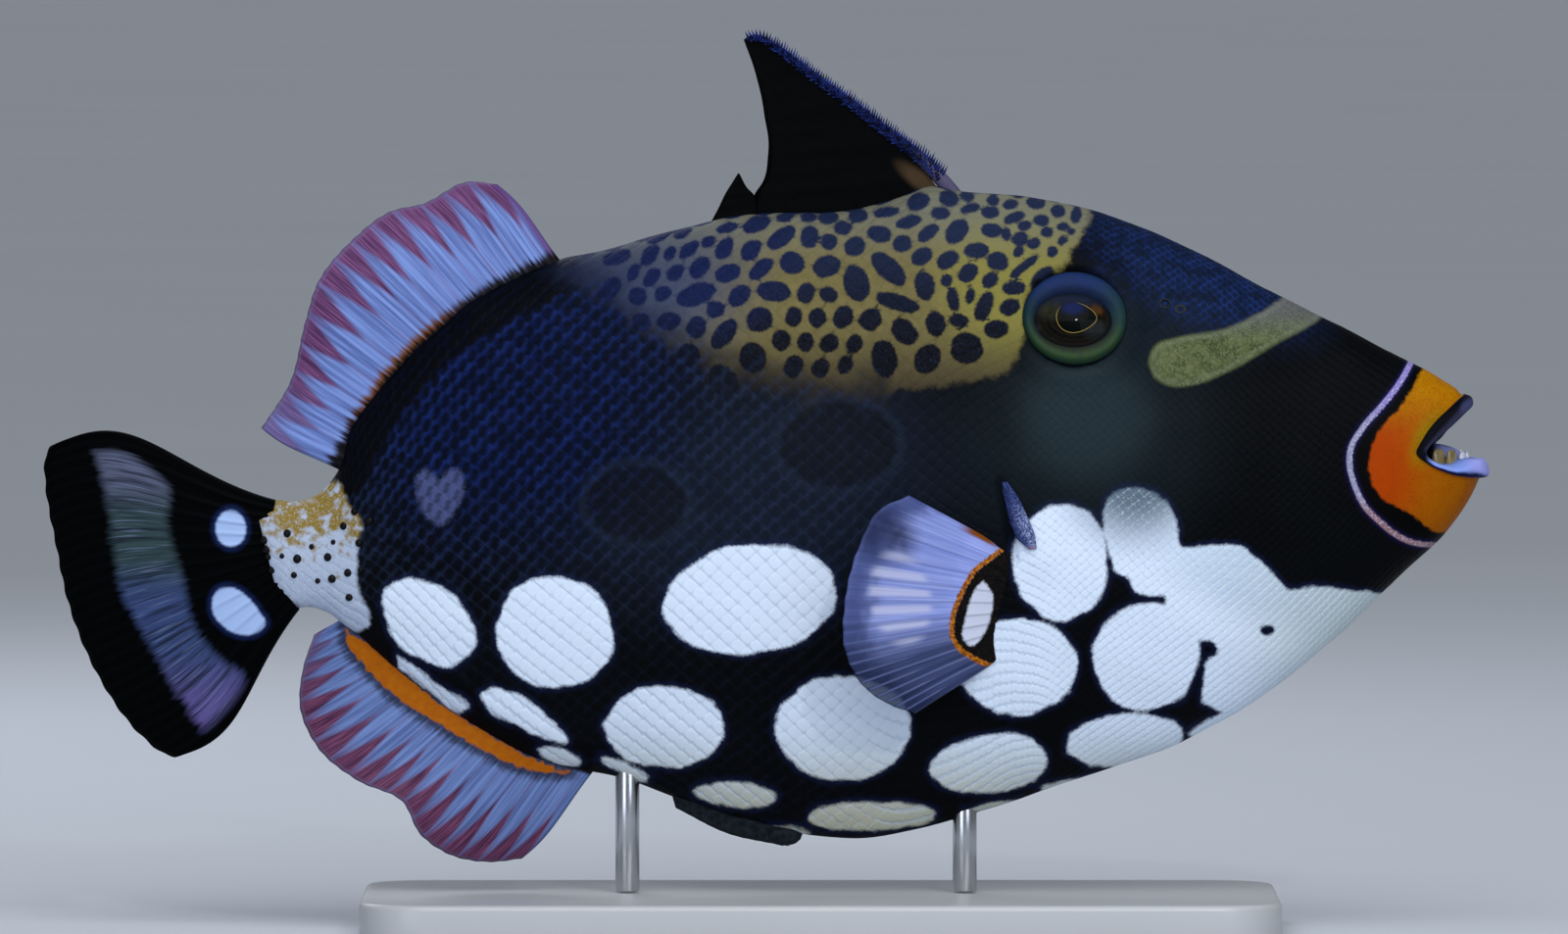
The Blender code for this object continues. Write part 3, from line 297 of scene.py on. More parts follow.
# Dark spots of the saddle: centre x and z, half axes, tilt.
SADDLE_SPOTS = (
    (32.3, 151.5, 2.4, 1.6, 23), (38.6, 152.2, 2, 1.6, -15), (42.5, 152.8, 1.4, 1.2, 0),
    (47.8, 151.8, 1.2, 1.2, 0), (53.3, 152.6, 1, 0.4, 10), (56.7, 151.4, 1.9, 1.4, 0), (4.7, 148.3, 1.8, 0.9, 10),
    (9.6, 148.3, 1.6, 1, 5), (13.6, 148.3, 2, 1.4, 10), (19.9, 148.6, 2, 1.4, 0), (25.8, 149.4, 2.6, 1, 8),
    (36.8, 149.2, 2, 1.2, -5), (43.1, 150.2, 2, 0.9, 18), (47.2, 149.4, 1.8, 1.2, 0), (51.4, 151, 1.6, 0.9, 15),
    (52.2, 148.3, 2.2, 1, 20), (57.7, 147.7, 1.6, 1.1, -5), (61.2, 149.6, 1.4, 1.2, 0), (65, 148.8, 1.8, 1, 80),
    (-16.5, 145.1, 2, 1, 25), (-7.3, 146.1, 2.2, 1, 15), (-1.2, 146.9, 3, 1.5, 20), (4, 144.2, 3.3, 1.7, 35),
    (9.8, 144.3, 1.8, 2.3, 0), (16.7, 146.1, 1.8, 1.4, 10), (24.2, 144.9, 2.5, 1.7, -10),
    (30.4, 147.4, 2.8, 1.2, 16), (34.3, 145.2, 2.5, 1.3, 33), (47.4, 145.7, 2, 1.4, -5), (50.4, 144.9, 1, 1.3, 0),
    (54.3, 146.7, 1.4, 0.9, 8), (58.9, 145.3, 1.3, 1, 5), (62.2, 146.5, 1.2, 0.8, 10), (63.8, 145.5, 0.8, 0.6, 0),
    (-23.2, 140.6, 2.4, 1.4, 50), (-21.5, 143.9, 2.4, 0.7, 22), (-19.1, 140.8, 1.6, 1.1, 55),
    (-15.2, 141.7, 2.4, 1.2, 40), (-11.2, 143.2, 1.6, 1.1, 35), (-7.8, 142, 2.5, 1.5, 56),
    (-2.3, 141.6, 2.4, 1.7, 48), (13.8, 143.3, 1.6, 1.6, 0), (19.1, 142.4, 2.2, 1.9, 45),
    (28.9, 143, 1.9, 1.7, 42), (33, 140.4, 2.3, 1.7, 33), (44.3, 141.6, 2.6, 1.6, 5), (53, 141.4, 1, 1.3, -30),
    (53.3, 143.9, 1.6, 1.4, 10), (56.1, 143.1, 1.3, 1.1, 10), (60, 141.4, 1, 1.1, 0), (62.2, 143.7, 1.2, 0.8, 40),
    (-30.1, 140, 3, 1.4, 20), (-26.6, 137, 2, 1, 62), (-18, 136.9, 2.1, 1.4, 40), (-12.9, 138.1, 2.5, 1.7, 51),
    (-7.1, 136.9, 2.6, 1.8, 19), (-0.2, 137.8, 3, 1.5, 40), (6.2, 139, 2.6, 2.2, -14),
    (13.3, 138.3, 2.8, 2.2, 17),
    (26.1, 137.9, 4.4, 2.1, -42), (38.3, 139.7, 2.4, 1.7, 29), (42.5, 137, 2.3, 1.6, 39),
    (48.7, 139.4, 2.3, 1.8, -16), (52.4, 137, 1.2, 0.9, 60), (54.3, 138.5, 3.7, 0.8, 38),
    (-31.7, 133.4, 2.9, 1.8, 48), (-22.9, 135.9, 2.3, 1.3, 50), (2.5, 133.2, 3.5, 2, -6),
    (19.5, 134.9, 3.7, 2.6, -72), (33.5, 134.4, 2.9, 2, -79), (38, 135.5, 1.2, 1.2, 0),
    (47.1, 135.6, 1.9, 1.4, 36), (51.9, 134, 2.4, 1.4, 2), (57.9, 135.9, 3.1, 1.7, 46),
    (-25.8, 132.1, 1.8, 1.8, 0), (-20.5, 132.7, 1.8, 1.4, 29), (-13.7, 132.5, 4.2, 2.1, 19),
    (-9.6, 129.5, 1.9, 1.7, 26), (-4.7, 132.3, 2.6, 1.7, 46), (9, 132.9, 2.2, 1.7, 69),
    (13.7, 132.6, 1.9, 1.6, -19), (27.9, 131, 4.6, 1.6, -17), (39.4, 131.7, 2.4, 1.2, -75),
    (42.9, 132.4, 1.7, 0.9, 75), (45.8, 130.1, 3.1, 1.6, 65), (51.1, 130, 2.1, 1.6, 29),
    (-30.5, 127.2, 2.2, 1.8, 0), (-25, 126.8, 2, 1.8, 0), (-19.3, 127, 2.4, 1.8, 10),
    (-13.6, 125.8, 2.3, 1.9, 71),
    (-0.6, 127.4, 2.7, 2.5, 35), (6.5, 128, 2, 1.7, -90), (11.4, 127.9, 2, 1.8, 69), (16.7, 128, 2.5, 1.9, 64),
    (22.3, 127.5, 2.4, 2.2, 32), (35.7, 126.7, 2.6, 2, -85), (40.7, 127.3, 2, 1.3, -8),
    (-7.8, 124.5, 3.6, 1.9, 53), (3.9, 123.2, 2.2, 1.8, -89), (9, 122.8, 2, 1.7, 78), (13.8, 122.6, 2, 1.8, 48),
    (19.1, 122.5, 2, 1.6, 75), (29.4, 125, 3.1, 2.2, -43), (48.3, 125.5, 2.4, 1.8, 9),
    (-21.5, 120.1, 2.6, 1.6, 79), (-15.3, 120.1, 2.3, 2.3, 73), (-1.9, 119.6, 3.1, 2.7, -78),
    (25.2, 119.4, 3.8, 2.6, -79), (34.1, 119.4, 3.2, 2.5, 53), (42.2, 121.6, 3.3, 3.1, -6),
    (-8, 114.9, 3.6, 2.6, -53), (6.5, 117.9, 2.4, 1.9, 67), (12, 117.5, 2, 1.7, 61), (17.1, 118.1, 1.9, 1.5, 70),
    (40.2, 145.5, 2.9, 1.9, 50),
)
SNOUT_BAND = (
    (112.2, 136.3), (107.7, 131.7), (101.0, 127.8), (95.9, 125.6), (85.8, 123.8), (81.3, 122.3),
    (79.7, 119.1), (81.3, 115.2), (83.7, 113.8), (88.8, 113.8), (95.9, 116.4), (106.1, 122.1),
    (116.3, 127.8), (120.3, 131.9),
)
MUZZLE_LINE = (
    (138.4, 127.6), (134.2, 117.8), (131.4, 113.4), (128.3, 109.6), (124.4, 105.3),
    (121.6, 100.6), (121.4, 97.1), (122.4, 93.3), (124.8, 88.4), (127.6, 85.6),
    (130.7, 83.0), (134.4, 81.1), (139.0, 80.3), (144.7, 80.0), (150.0, 79.6),
)
ORANGE_EDGE = (
    (143.0, 125.0), (139.0, 118.9), (136.4, 116.4), (134.6, 113.2), (131.6, 109.0), (128.0, 105.0),
    (126.0, 101.0), (125.2, 97.4), (126.0, 93.4), (128.2, 90.2), (132.2, 87.9), (135.4, 85.9), (138.4, 83.6),
    (143.4, 82.6), (149.0, 82.2),
)
STALK_PATCH = (
    (-105.7, 86.0), (-104.7, 88.4), (-100.2, 91.0), (-95.1, 92.0), (-90.4, 93.0), (-88.0, 93.5),
    (-85.8, 89.2), (-82.9, 85.5), (-83.5, 80.5), (-83.9, 73.3), (-81.7, 63.4), (-86.6, 62.0),
    (-92.1, 64.4), (-96.7, 66.3), (-100.8, 69.1), (-103.3, 73.8), (-104.9, 79.4),
)
HEART = (
    (-71.7, 94.6), (-70.2, 96.3), (-68.3, 95.6), (-66.7, 94.3), (-64.8, 96.4), (-62.6, 96.3), (-61.6, 93.0),
    (-63.2, 88.2), (-66.4, 84.6), (-69.6, 86.6), (-71.5, 90.6),
)
# Feet of the soft dorsal and anal fins.
FIN_FEET = (
    ((-87.4, 95.6), (-79.4, 109.6), (-70.5, 120.2), (-56.5, 130.6), (-38.0, 140.0)),
    ((-86.4, 64.6), (-72.8, 53.4), (-60.0, 44.0), (-48.4, 37.6), (-34.6, 33.2)),
)


def oval_distance(x, z, spot):
    """Distance to an oval's edge, close enough near the edge."""
    turn = math.radians(spot[4])
    dx, dz = x - spot[0], z - spot[1]
    u = (dx * math.cos(turn) + dz * math.sin(turn)) / spot[2]
    v = (dz * math.cos(turn) - dx * math.sin(turn)) / spot[3]
    k = np.sqrt(u * u + v * v) + 1e-9
    slope = np.sqrt((u / spot[2]) ** 2 + (v / spot[3]) ** 2) + 1e-9
    return np.clip(k * (k - 1) / slope, -20, 20)


def outline_distance(x, z, outline, closed=True, reach=8.0):
    """Distance to a smooth outline; inside a closed one it is negative."""
    points = np.array(outline + (outline[:1] if closed else ()))
    line = smooth_curve(points, np.linspace(0, 1, 6 * len(points)))
    flat_x, flat_z = x.ravel(), z.ravel()
    result = np.full(flat_x.shape, 20.0)
    low, high = line.min(axis=0) - reach, line.max(axis=0) + reach
    chosen = np.flatnonzero((flat_x > low[0]) & (flat_x < high[0]) & (flat_z > low[1]) & (flat_z < high[1]))
    px, pz = flat_x[chosen], flat_z[chosen]
    best = np.full(px.shape, 20.0)
    inside = np.zeros(px.shape, dtype=bool)
    for start, end in zip(line, line[1:]):
        best = np.minimum(best, segment_distance(px, pz, start, end))
        if closed and start[1] != end[1]:
            crosses = (start[1] > pz) != (end[1] > pz)
            inside ^= crosses & (px < start[0] + (pz - start[1]) * (end[0] - start[0]) / (end[1] - start[1]))
    result[chosen] = np.where(inside, -best, best)
    return result.reshape(x.shape)


def ahead_of(x, z, line):
    """Distance to an open line that runs down the side; ahead of it, it is negative."""
    away = outline_distance(x, z, line, closed=False, reach=40)
    rows = np.array(line)
    return np.where(x > np.interp(z, rows[::-1, 1], rows[::-1, 0]), -away, away)


def hide_markings(points):
    """Distances to all the patches, for the hide and for the scales on it alike."""
    x, y, z = points[..., 0], points[..., 1], points[..., 2]
    white = outline_distance(x, z, THROAT_PATCH)
    for mark in ((91.6, 59.2, 2.9, 1.9, -8), (104.3, 63.0, 1.4, 1.0, 10)):
        white = np.maximum(white, -oval_distance(x, z, mark))
    for spot in WHITE_SPOTS:
        white = np.minimum(white, oval_distance(x, z, spot))
    for leaf in WHITE_LEAVES:
        white = np.minimum(white, outline_distance(x, z, leaf))
    spots = np.full(x.shape, 20.0)
    over = (x > -45) & (x < 72) & (z > 108)
    sx, sz, sy = x[over], z[over], y[over]
    best = np.full(sx.shape, 20.0)
    for spot in SADDLE_SPOTS:
        best = np.minimum(best, oval_distance(sx, sz, spot))
    # Unseen spots along the ridge of the back, 6 mm apart, and smaller and closer over the nape.
    for gap, size, reach in ((6.2, 2.1, (-40, 42)), (4.1, 1.3, (42, 68))):
        near_x = (sx - reach[0]) % gap - gap / 2
        ridge = np.hypot(near_x, sy) - size
        best = np.where((sx > reach[0]) & (sx < reach[1]) & (np.abs(sy) < 3.4), np.minimum(best, ridge), best)
    spots[over] = best
    discs = [oval_distance(x, z, disc) for disc in ((-26.0, 89.6, 11.0, 8.6, 0), (15.7, 101.8, 13.0, 9.6, 0))]
    return {
        "white": white,
        "saddle": outline_distance(x, z, SADDLE, reach=16),
        "spots": spots,
        "snout_band": outline_distance(x, z, SNOUT_BAND),
        "pink_line": ahead_of(x, z, MUZZLE_LINE),
        "orange": ahead_of(x, z, ORANGE_EDGE),
        "stalk_patch": outline_distance(x, z, STALK_PATCH),
        "heart": outline_distance(x, z, HEART),
        "discs": np.minimum(*discs),
        "fin_foot": np.minimum(*(outline_distance(x, z, foot, closed=False, reach=14) for foot in FIN_FEET)),
    }


def set_active(piece):
    bpy.ops.object.select_all(action="DESELECT")
    piece.select_set(True)
    bpy.context.view_layer.objects.active = piece


def outward_faces(piece):
    """Joins doubled points and turns all faces outwards, in edit mode."""
    set_active(piece)
    bpy.ops.object.mode_set(mode="EDIT")
    bpy.ops.mesh.select_all(action="SELECT")
    bpy.ops.mesh.remove_doubles(threshold=2e-6)
    bpy.ops.mesh.normals_make_consistent(inside=False)
    bpy.ops.object.mode_set(mode="OBJECT")


def add_facts(mesh, facts):
    """Writes one number per point under each name."""
    for name, values in facts.items():
        layer = mesh.attributes.new(name, "FLOAT", "POINT")
        layer.data.foreach_set("value", np.ascontiguousarray(values, dtype=float).ravel())


def rolled_grid(name, points, facts=None):
    """A grid primitive whose points are set in code, closed where its edges meet."""
    rows, columns = points.shape[:2]
    bpy.ops.object.select_all(action="DESELECT")
    bpy.ops.mesh.primitive_grid_add(x_subdivisions=columns - 1, y_subdivisions=rows - 1, size=1)
    piece = bpy.context.object
    piece.name = piece.data.name = name
    piece.data.vertices.foreach_set("co", (np.asarray(points) * MM).ravel())
    add_facts(piece.data, facts or {})
    outward_faces(piece)
    bpy.ops.object.shade_smooth()
    return piece


markings = hide_markings(hide)
markings["lip"] = lip
markings["rim"] = markings["seam"] = np.ones(lip.shape)
skin = rolled_grid("hide", hide, markings)
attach(skin, "root")
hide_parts("head", "torso", "caudal_peduncle", "mouth")


def paint(colour):
    """An sRGB hex colour as linear red, green, blue and full cover."""
    parts = [int(colour[place:place + 2], 16) / 255 for place in (1, 3, 5)]
    linear = [part / 12.92 if part <= 0.04045 else ((part + 0.055) / 1.055) ** 2.4 for part in parts]
    return (*linear, 1.0)


USUAL_SETTINGS = {"Mix": {"data_type": "RGBA"}, "MapRange": {"interpolation_type": "SMOOTHSTEP"}}


def node(kind, *links, output=0, inputs=None, **settings):
    """Adds a node to the newest material, fills its inputs with links, numbers or hex colours."""
    made = tree.nodes.new("ShaderNode" + kind)
    for name, value in {**USUAL_SETTINGS.get(kind, {}), **settings}.items():
        setattr(made, name, value)
    sockets = list(zip([socket for socket in made.inputs if socket.enabled], links))
    sockets += [(made.inputs[name], value) for name, value in (inputs or {}).items()]
    for socket, value in sockets:
        if isinstance(value, bpy.types.NodeSocket):
            tree.links.new(value, socket)
        else:
            socket.default_value = paint(value) if isinstance(value, str) else value
    return [socket for socket in made.outputs if socket.enabled][output]


def new_finish(name, roughness, specular=0.5, **sockets):
    """Starts a material, whose plain numbers sit on the shader's own sockets."""
    global tree, shader
    material = bpy.data.materials.new(name)
    material.use_nodes = True
    tree = material.node_tree
    shader = tree.nodes["Principled BSDF"]
    for socket, value in {"Roughness": roughness, "Specular IOR Level": specular, **sockets}.items():
        shader.inputs[socket.replace("_", " ")].default_value = value
    return material


def finish_with(colour, relief=None, strength=0.3, depth=0.0002):
    """Links a colour, and a relief that is depth metres high, to the newest material's shader."""
    tree.links.new(colour, shader.inputs["Base Color"])
    if relief is not None:
        bump = node("Bump", inputs={"Strength": strength, "Distance": depth, "Height": relief})
        tree.links.new(bump, shader.inputs["Normal"])


def place_in_mm():
    return node("VectorMath", node("TexCoord", output=3), (1000, 1000, 1000), operation="MULTIPLY")


def read_facts(*names):
    return {name: node("Attribute", output=2, attribute_name=name) for name in names}


def shaken(value, noise, reach):
    """A distance whose edge wanders by up to half of reach, in millimetres."""
    shift = node("Math", noise, reach, -reach / 2, operation="MULTIPLY_ADD")
    return node("Math", value, shift, operation="ADD")


def soft_zone(place, centre, size, tilt=0.0, most=1.0):
    """Most in the middle of an oval zone seen from the side, fading to 0 at its edge; in millimetres."""
    centred = node(
        "Mapping", place, (centre[0], 0, centre[1]), (0, -math.radians(tilt), 0), (size[0], 1000, size[1]),
        vector_type="TEXTURE",
    )
    length = node("VectorMath", centred, operation="LENGTH", output=0)
    return node("MapRange", length, 1.0, 0.3, 0.0, most)


# Leathery fish skin with a faint satin: nearly black, with cream and white patches, a straw-coloured
# net round indigo spots over the back, an orange muzzle and pale lips.
skin_finish = new_finish("fish_skin", 0.48, 0.03)
place = place_in_mm()
fact = read_facts(
    "white", "saddle", "spots", "snout_band", "pink_line", "orange", "stalk_patch", "heart", "discs", "fin_foot",
    "lip", "rim", "seam",
)
forward = node("SeparateXYZ", place, output=0)
height = node("SeparateXYZ", place, output=2)
cloud = node("TexNoise", inputs={"Vector": place, "Scale": 0.05, "Detail": 3.0})
wander = node("TexNoise", inputs={"Vector": place, "Scale": 0.13, "Detail": 2.0})
ripple = node("TexNoise", inputs={"Vector": place, "Scale": 0.45, "Detail": 2.0})
grain = node("TexNoise", inputs={"Vector": place, "Scale": 2.2, "Detail": 3.0, "Roughness": 0.7})

# Black flank, teal-grey cheek, navy forehead, and over the rear the blue net of the scales' rims.
dark = node("Mix", cloud, "#030406", "#070a0d")
for where, tint in (
    (soft_zone(place, (0, 92), (66, 34), 8, 0.9), "#131a26"),
    (soft_zone(place, (68, 104), (36, 32), -8, 0.5), "#1c272c"),
    (soft_zone(place, (67, 108), (19, 19), -8, 0.75), "#263339"),
    (soft_zone(place, (84, 126), (24, 16), -12, 0.8), "#121b24"),
    (soft_zone(place, (90, 140), (38, 15), -27), "#0d1728"),
):
    dark = node("Mix", where, dark, tint)
brow = node(
    "Math", node("MapRange", fact["rim"], 0.1, 1.0, 0.15, 0.7), soft_zone(place, (90, 139), (36, 17), -27),
    operation="MULTIPLY",
)
brow = node("Math", brow, node("MapRange", ripple, 0.34, 0.62, 0.2, 1.0), operation="MULTIPLY")
dark = node("Mix", brow, dark, "#1e3472")
blue = node("Mix", wander, "#0e1a44", "#182c6e")
grey_net = node("Mix", soft_zone(place, (-52, 112), (50, 44), 30), "#1e2940", blue)
net = node(
    "Math", node("MapRange", shaken(fact["rim"], ripple, 0.9), -0.05, 1.1),
    node("MapRange", ripple, 0.32, 0.64, 0.45, 1.0), operation="MULTIPLY",
)
net = node("Math", net, node("MapRange", forward, 40, 10), operation="MULTIPLY")
net = node("Math", net, node("MapRange", height, 56, 84, 0.12, 0.8), operation="MULTIPLY")
cells = node("Mix", soft_zone(place, (-48, 112), (52, 44), 30), dark, "#050b1c")
dark = node("Mix", net, cells, grey_net)
foot = node("MapRange", shaken(fact["fin_foot"], ripple, 2.0), 6.6, 4.6, 0.0, 0.92)
dark = node("Mix", foot, dark, "#050608")
discs = node("MapRange", shaken(fact["discs"], ripple, 3.0), 1.4, -1.6, 0.0, 0.5)
dark = node("Mix", discs, dark, "#0d0f12")
outline = node(
    "MapRange", node("Math", shaken(fact["discs"], ripple, 2.0), operation="ABSOLUTE"), 1.8, 0.0, 0.0, 0.16
)
dark = node("Mix", outline, dark, "#2c3a52")
heart = node("MapRange", shaken(fact["heart"], grain, 2.4), 0.7, -1.0, 0.0, 0.8)
heart = node("Math", heart, node("MapRange", fact["rim"], 0.0, 0.5, 0.5, 1.0), operation="MULTIPLY")
dark = node("Mix", heart, dark, "#4e5784")

# Saddle: straw-coloured net, bluish to the rear and brown where it fades, round indigo spots.
straw = node("Mix", ripple, "#5c5634", "#7a7048")
for where, tint in (
    (soft_zone(place, (52, 138), (22, 30), 0, 0.85), "#817c3c"),
    (soft_zone(place, (-30, 134), (40, 30), 20, 0.95), "#3c455e"),
    (node("MapRange", forward, -16, -42, 0.0, 0.9), "#1b2644"),
    (node("MapRange", height, 130, 110, 0.0, 0.9), "#342c24"),
    (node("MapRange", height, 136, 152, 0.0, 0.75), "#6c7068"),
):
    straw = node("Mix", where, straw, tint)
spot_blue = node("Mix", node("MapRange", height, 120, 152), "#0b0d12", "#1d2742")
spot_blue = node("Mix", soft_zone(place, (-20, 136), (40, 20), 15), spot_blue, "#121c42")
spot_blue = node("Mix", node("MapRange", grain, 0.5, 0.64, 0.0, 0.3), spot_blue, "#2a3454")
spots = node("MapRange", shaken(shaken(fact["spots"], grain, 0.7), ripple, 0.8), 0.45, -0.2)
saddle = node("Mix", spots, straw, spot_blue)
sharp_edge = node("MapRange", shaken(shaken(fact["saddle"], grain, 1.6), ripple, 3.0), 0.9, -1.1)
faded_edge = node("MapRange", shaken(shaken(fact["saddle"], wander, 9.0), ripple, 3.0), 0.5, -11.0)
rear = node("MapRange", forward, 28, 24)
cover = node("Mix", rear, sharp_edge, faded_edge, data_type="FLOAT")
colour = node("Mix", cover, dark, saddle)

# Olive-grey band from before the eye to the bridge of the snout.
band = node("MapRange", shaken(shaken(fact["snout_band"], grain, 0.9), ripple, 0.8), 0.45, -0.55)
band_colour = node("Mix", node("MapRange", ripple, 0.3, 0.7), "#3c4426", "#59613e")
band_colour = node("Mix", node("MapRange", height, 122, 131), band_colour, "#585862")
band_colour = node("Mix", node("MapRange", grain, 0.45, 0.62, 0.0, 0.6), band_colour, "#717a5a")
band_rim = node(
    "MapRange", node("Math", node("Math", fact["snout_band"], 0.9, operation="ADD"), operation="ABSOLUTE"), 0.8,
    0.1, 0.0, 0.12,
)
band_colour = node("Mix", band_rim, band_colour, "#8c9684")
colour = node("Mix", band, colour, band_colour)

# White spots, bluish above and cream on the belly, darker lower down partly as painted shade, with faint lines
# between the scales.
white = shaken(shaken(shaken(fact["white"], wander, 2.4), ripple, 1.0), grain, 0.9)
# Darker and creamier lower down: partly the belly's own cream, partly painted shade.
white_colour = node("Mix", node("MapRange", height, 20, 46), "#b4b6a2", "#d8e7fa")
for where, tint in (
    (node("MapRange", forward, 92, 124, 0.0, 0.7), "#a9b6ac"),
    (soft_zone(place, (77, 97), (20, 21), 0, 0.95), "#4e6170"),
    (soft_zone(place, (104, 74), (28, 14), -16, 0.4), "#90aac0"),
):
    white_colour = node("Mix", where, white_colour, tint)
lines = node("MapRange", fact["seam"], 0.82, 0.97, 0.0, 0.5)
white_colour = node(
    "Mix", lines, white_colour, node("Mix", soft_zone(place, (104, 72), (32, 20), -12), "#b6c8de", "#dae6e8")
)
white_colour = node("Mix", node("MapRange", grain, 0.56, 0.68, 0.0, 0.3), white_colour, "#f0f4f6")
halo = node("MapRange", white, 1.7, 0.3, 0.0, 0.18)
colour = node("Mix", halo, colour, "#22306a")
colour = node("Mix", node("MapRange", white, 0.5, -0.5), colour, white_colour)

# Tail stalk: dirty white with ochre clouds above.
stalk = node("MapRange", shaken(shaken(fact["stalk_patch"], ripple, 1.4), grain, 0.8), 0.5, -0.7)
ochre = node(
    "Math", node("MapRange", height, 70, 90), node("Math", ripple, 2.6, -1.5, operation="MULTIPLY_ADD"),
    operation="ADD",
)
stalk_colour = node("Mix", node("MapRange", ochre, 0.2, 0.85), "#a7b5cc", "#86702e")
stalk_colour = node("Mix", node("MapRange", grain, 0.5, 0.7, 0.0, 0.4), stalk_colour, "#cdd6e4")
colour = node("Mix", stalk, colour, stalk_colour)

# Muzzle: a pale line with a blue hem, a black band, then orange that is redder behind, yellower above.
muzzle_side = node("MapRange", fact["pink_line"], 1.6, 0.9)
colour = node("Mix", muzzle_side, colour, "#040405")
line = node("Math", shaken(fact["pink_line"], grain, 0.7), operation="ABSOLUTE")
colour = node("Mix", node("MapRange", line, 1.7, 0.7, 0.0, 0.7), colour, "#12113c")
pink = node("Mix", node("MapRange", height, 102, 114), "#8486a4", "#7e72be")
pink = node("Mix", node("MapRange", height, 93, 86), pink, "#8a6466")
pink = node("Mix", node("MapRange", grain, 0.46, 0.62, 0.0, 0.8), pink, "#b9b4ce")
colour = node("Mix", node("MapRange", line, 0.8, 0.35), colour, pink)
orange = node("Mix", node("MapRange", forward, 128, 142), "#a04c02", "#985602")
for where, tint in (
    (soft_zone(place, (127, 96), (11, 17), 0, 0.9), "#a53a02"),
    (node("MapRange", height, 103, 115), "#ac7402"),
    (soft_zone(place, (138.2, 102.8), (4.6, 9.0), -28, 0.8), "#857404"),
    (
        node("MapRange", node("Math", ripple, 0.35, grain, operation="MULTIPLY_ADD"), 0.6, 0.85, 0.0, 0.5),
        "#8a3a04",
    ),
):
    orange = node("Mix", where, orange, tint)
edge = shaken(shaken(fact["orange"], ripple, 1.2), grain, 0.7)
colour = node("Mix", node("MapRange", edge, 0.3, -0.5), colour, orange)

# Lips: a blue-black edge above with a painted highlight at its tip, a pale violet one with a deep blue hem below
# that darkens as painted shade into the mouth's corner, and near-black painted shade inside.
above = node("MapRange", node("Math", forward, -0.12, height, operation="MULTIPLY_ADD"), 83.0, 84.4)
upper_lip = node("Mix", node("MapRange", fact["lip"], 0.45, 0.85), "#05070e", "#303046")
# Painted highlight: a paler violet patch on the upper lip's tip.
upper_lip = node("Mix", soft_zone(place, (146.3, 109.2), (2.8, 2.0), 40, 0.8), upper_lip, "#41466e")
lower_lip = node("Mix", node("MapRange", shaken(fact["lip"], ripple, 0.3), 0.24, 0.56), "#0a1140", "#7f98e2")
lower_lip = node(
    "Mix",
    node(
        "Math", node("MapRange", forward, 144, 149, 0.0, 0.8), node("MapRange", fact["lip"], 0.3, 0.55),
        operation="MULTIPLY",
    ),
    lower_lip, "#9c9ce0",
)
# Painted shade: the lower lip darkens to near-black towards the mouth's corner.
lower_lip = node("Mix", node("MapRange", forward, 139.2, 137.0), lower_lip, "#0b0d14")
lips = node("Mix", above, lower_lip, upper_lip)
# Painted shade: the lining inside the mouth is near-black.
lips = node("Mix", node("MapRange", fact["lip"], 1.5, 4.5), lips, "#0c0709")
colour = node("Mix", node("MapRange", fact["lip"], 0.02, 0.1), colour, lips)

# Fine grain of the hide, about 0.4 mm, and pores of 0.6 mm, both in low relief.
pores = node("TexVoronoi", inputs={"Vector": place, "Scale": 1.6})
finish_with(colour, node("Math", pores, 0.5, grain, operation="MULTIPLY_ADD"), 0.3, 0.00012)
skin.data.materials.append(skin_finish)


# Scales: thousands of thin bony plates set edge to edge in slanting rows, each with a low crown.
# They grow smaller from body to head and stop at the muzzle's pale line, the eyes, the gill slit
# and the nostrils. Each is one small closed plate that bends with the hide under it.
PLATE_PITCH_BODY = 3.6
PLATE_PITCH_HEAD = 2.0
PLATE_ASPECT = 0.54
BODY_PART_END = 142.0
CLEAR_OF_EYE = 11.6
CLEAR_OF_SLIT = 1.3
CLEAR_OF_MUZZLE = 1.0
CLEAR_OF_NOSTRIL = 1.7
PLATE_CORNERS = 8
NOSTRILS = ((83.3, 130.5, 0.95), (86.3, 129.3, 0.95))
random = np.random.default_rng(7)
last_ring = 1 + BODY_RINGS + MUZZLE_RINGS - 3
half_way = AROUND // 2
steps_around = np.linalg.norm(np.diff(hide, axis=1), axis=-1)
down_right = np.concatenate((np.zeros((len(hide), 1)), np.cumsum(steps_around[:, :half_way], axis=1)), axis=1)
down_left = np.concatenate(
    (np.zeros((len(hide), 1)), np.cumsum(steps_around[:, :half_way - 1:-1], axis=1)), axis=1
)
around_length = np.concatenate((down_right, -down_left[:, -2::-1]), axis=1)
flank_line = (hide[:, AROUND // 4] + hide[:, 3 * AROUND // 4]) / 2
along_length = np.concatenate(([0.0], np.cumsum(np.linalg.norm(np.diff(flank_line, axis=0), axis=1))))


def plate_pitch(length):
    """Distance between plates at a length along the body, in millimetres."""
    head = np.clip((length - 128.0) / 40.0, 0, 1)
    stalk = np.clip((40.0 - length) / 30.0, 0, 1)
    body = PLATE_PITCH_BODY + (PLATE_PITCH_HEAD - PLATE_PITCH_BODY) * head * head * (3 - 2 * head)
    return body - 1.2 * stalk


def grid_sample(field, ring, column):
    """Values between the grid's points."""
    r0 = np.clip(ring.astype(int), 0, field.shape[0] - 2)
    c0 = np.clip(column.astype(int), 0, field.shape[1] - 2)
    fr = (ring - r0)[..., None]
    fc = (column - c0)[..., None]
    return (
        field[r0, c0] * (1 - fr) * (1 - fc) + field[r0 + 1, c0] * fr * (1 - fc)
        + field[r0, c0 + 1] * (1 - fr) * fc + field[r0 + 1, c0 + 1] * fr * fc
    )


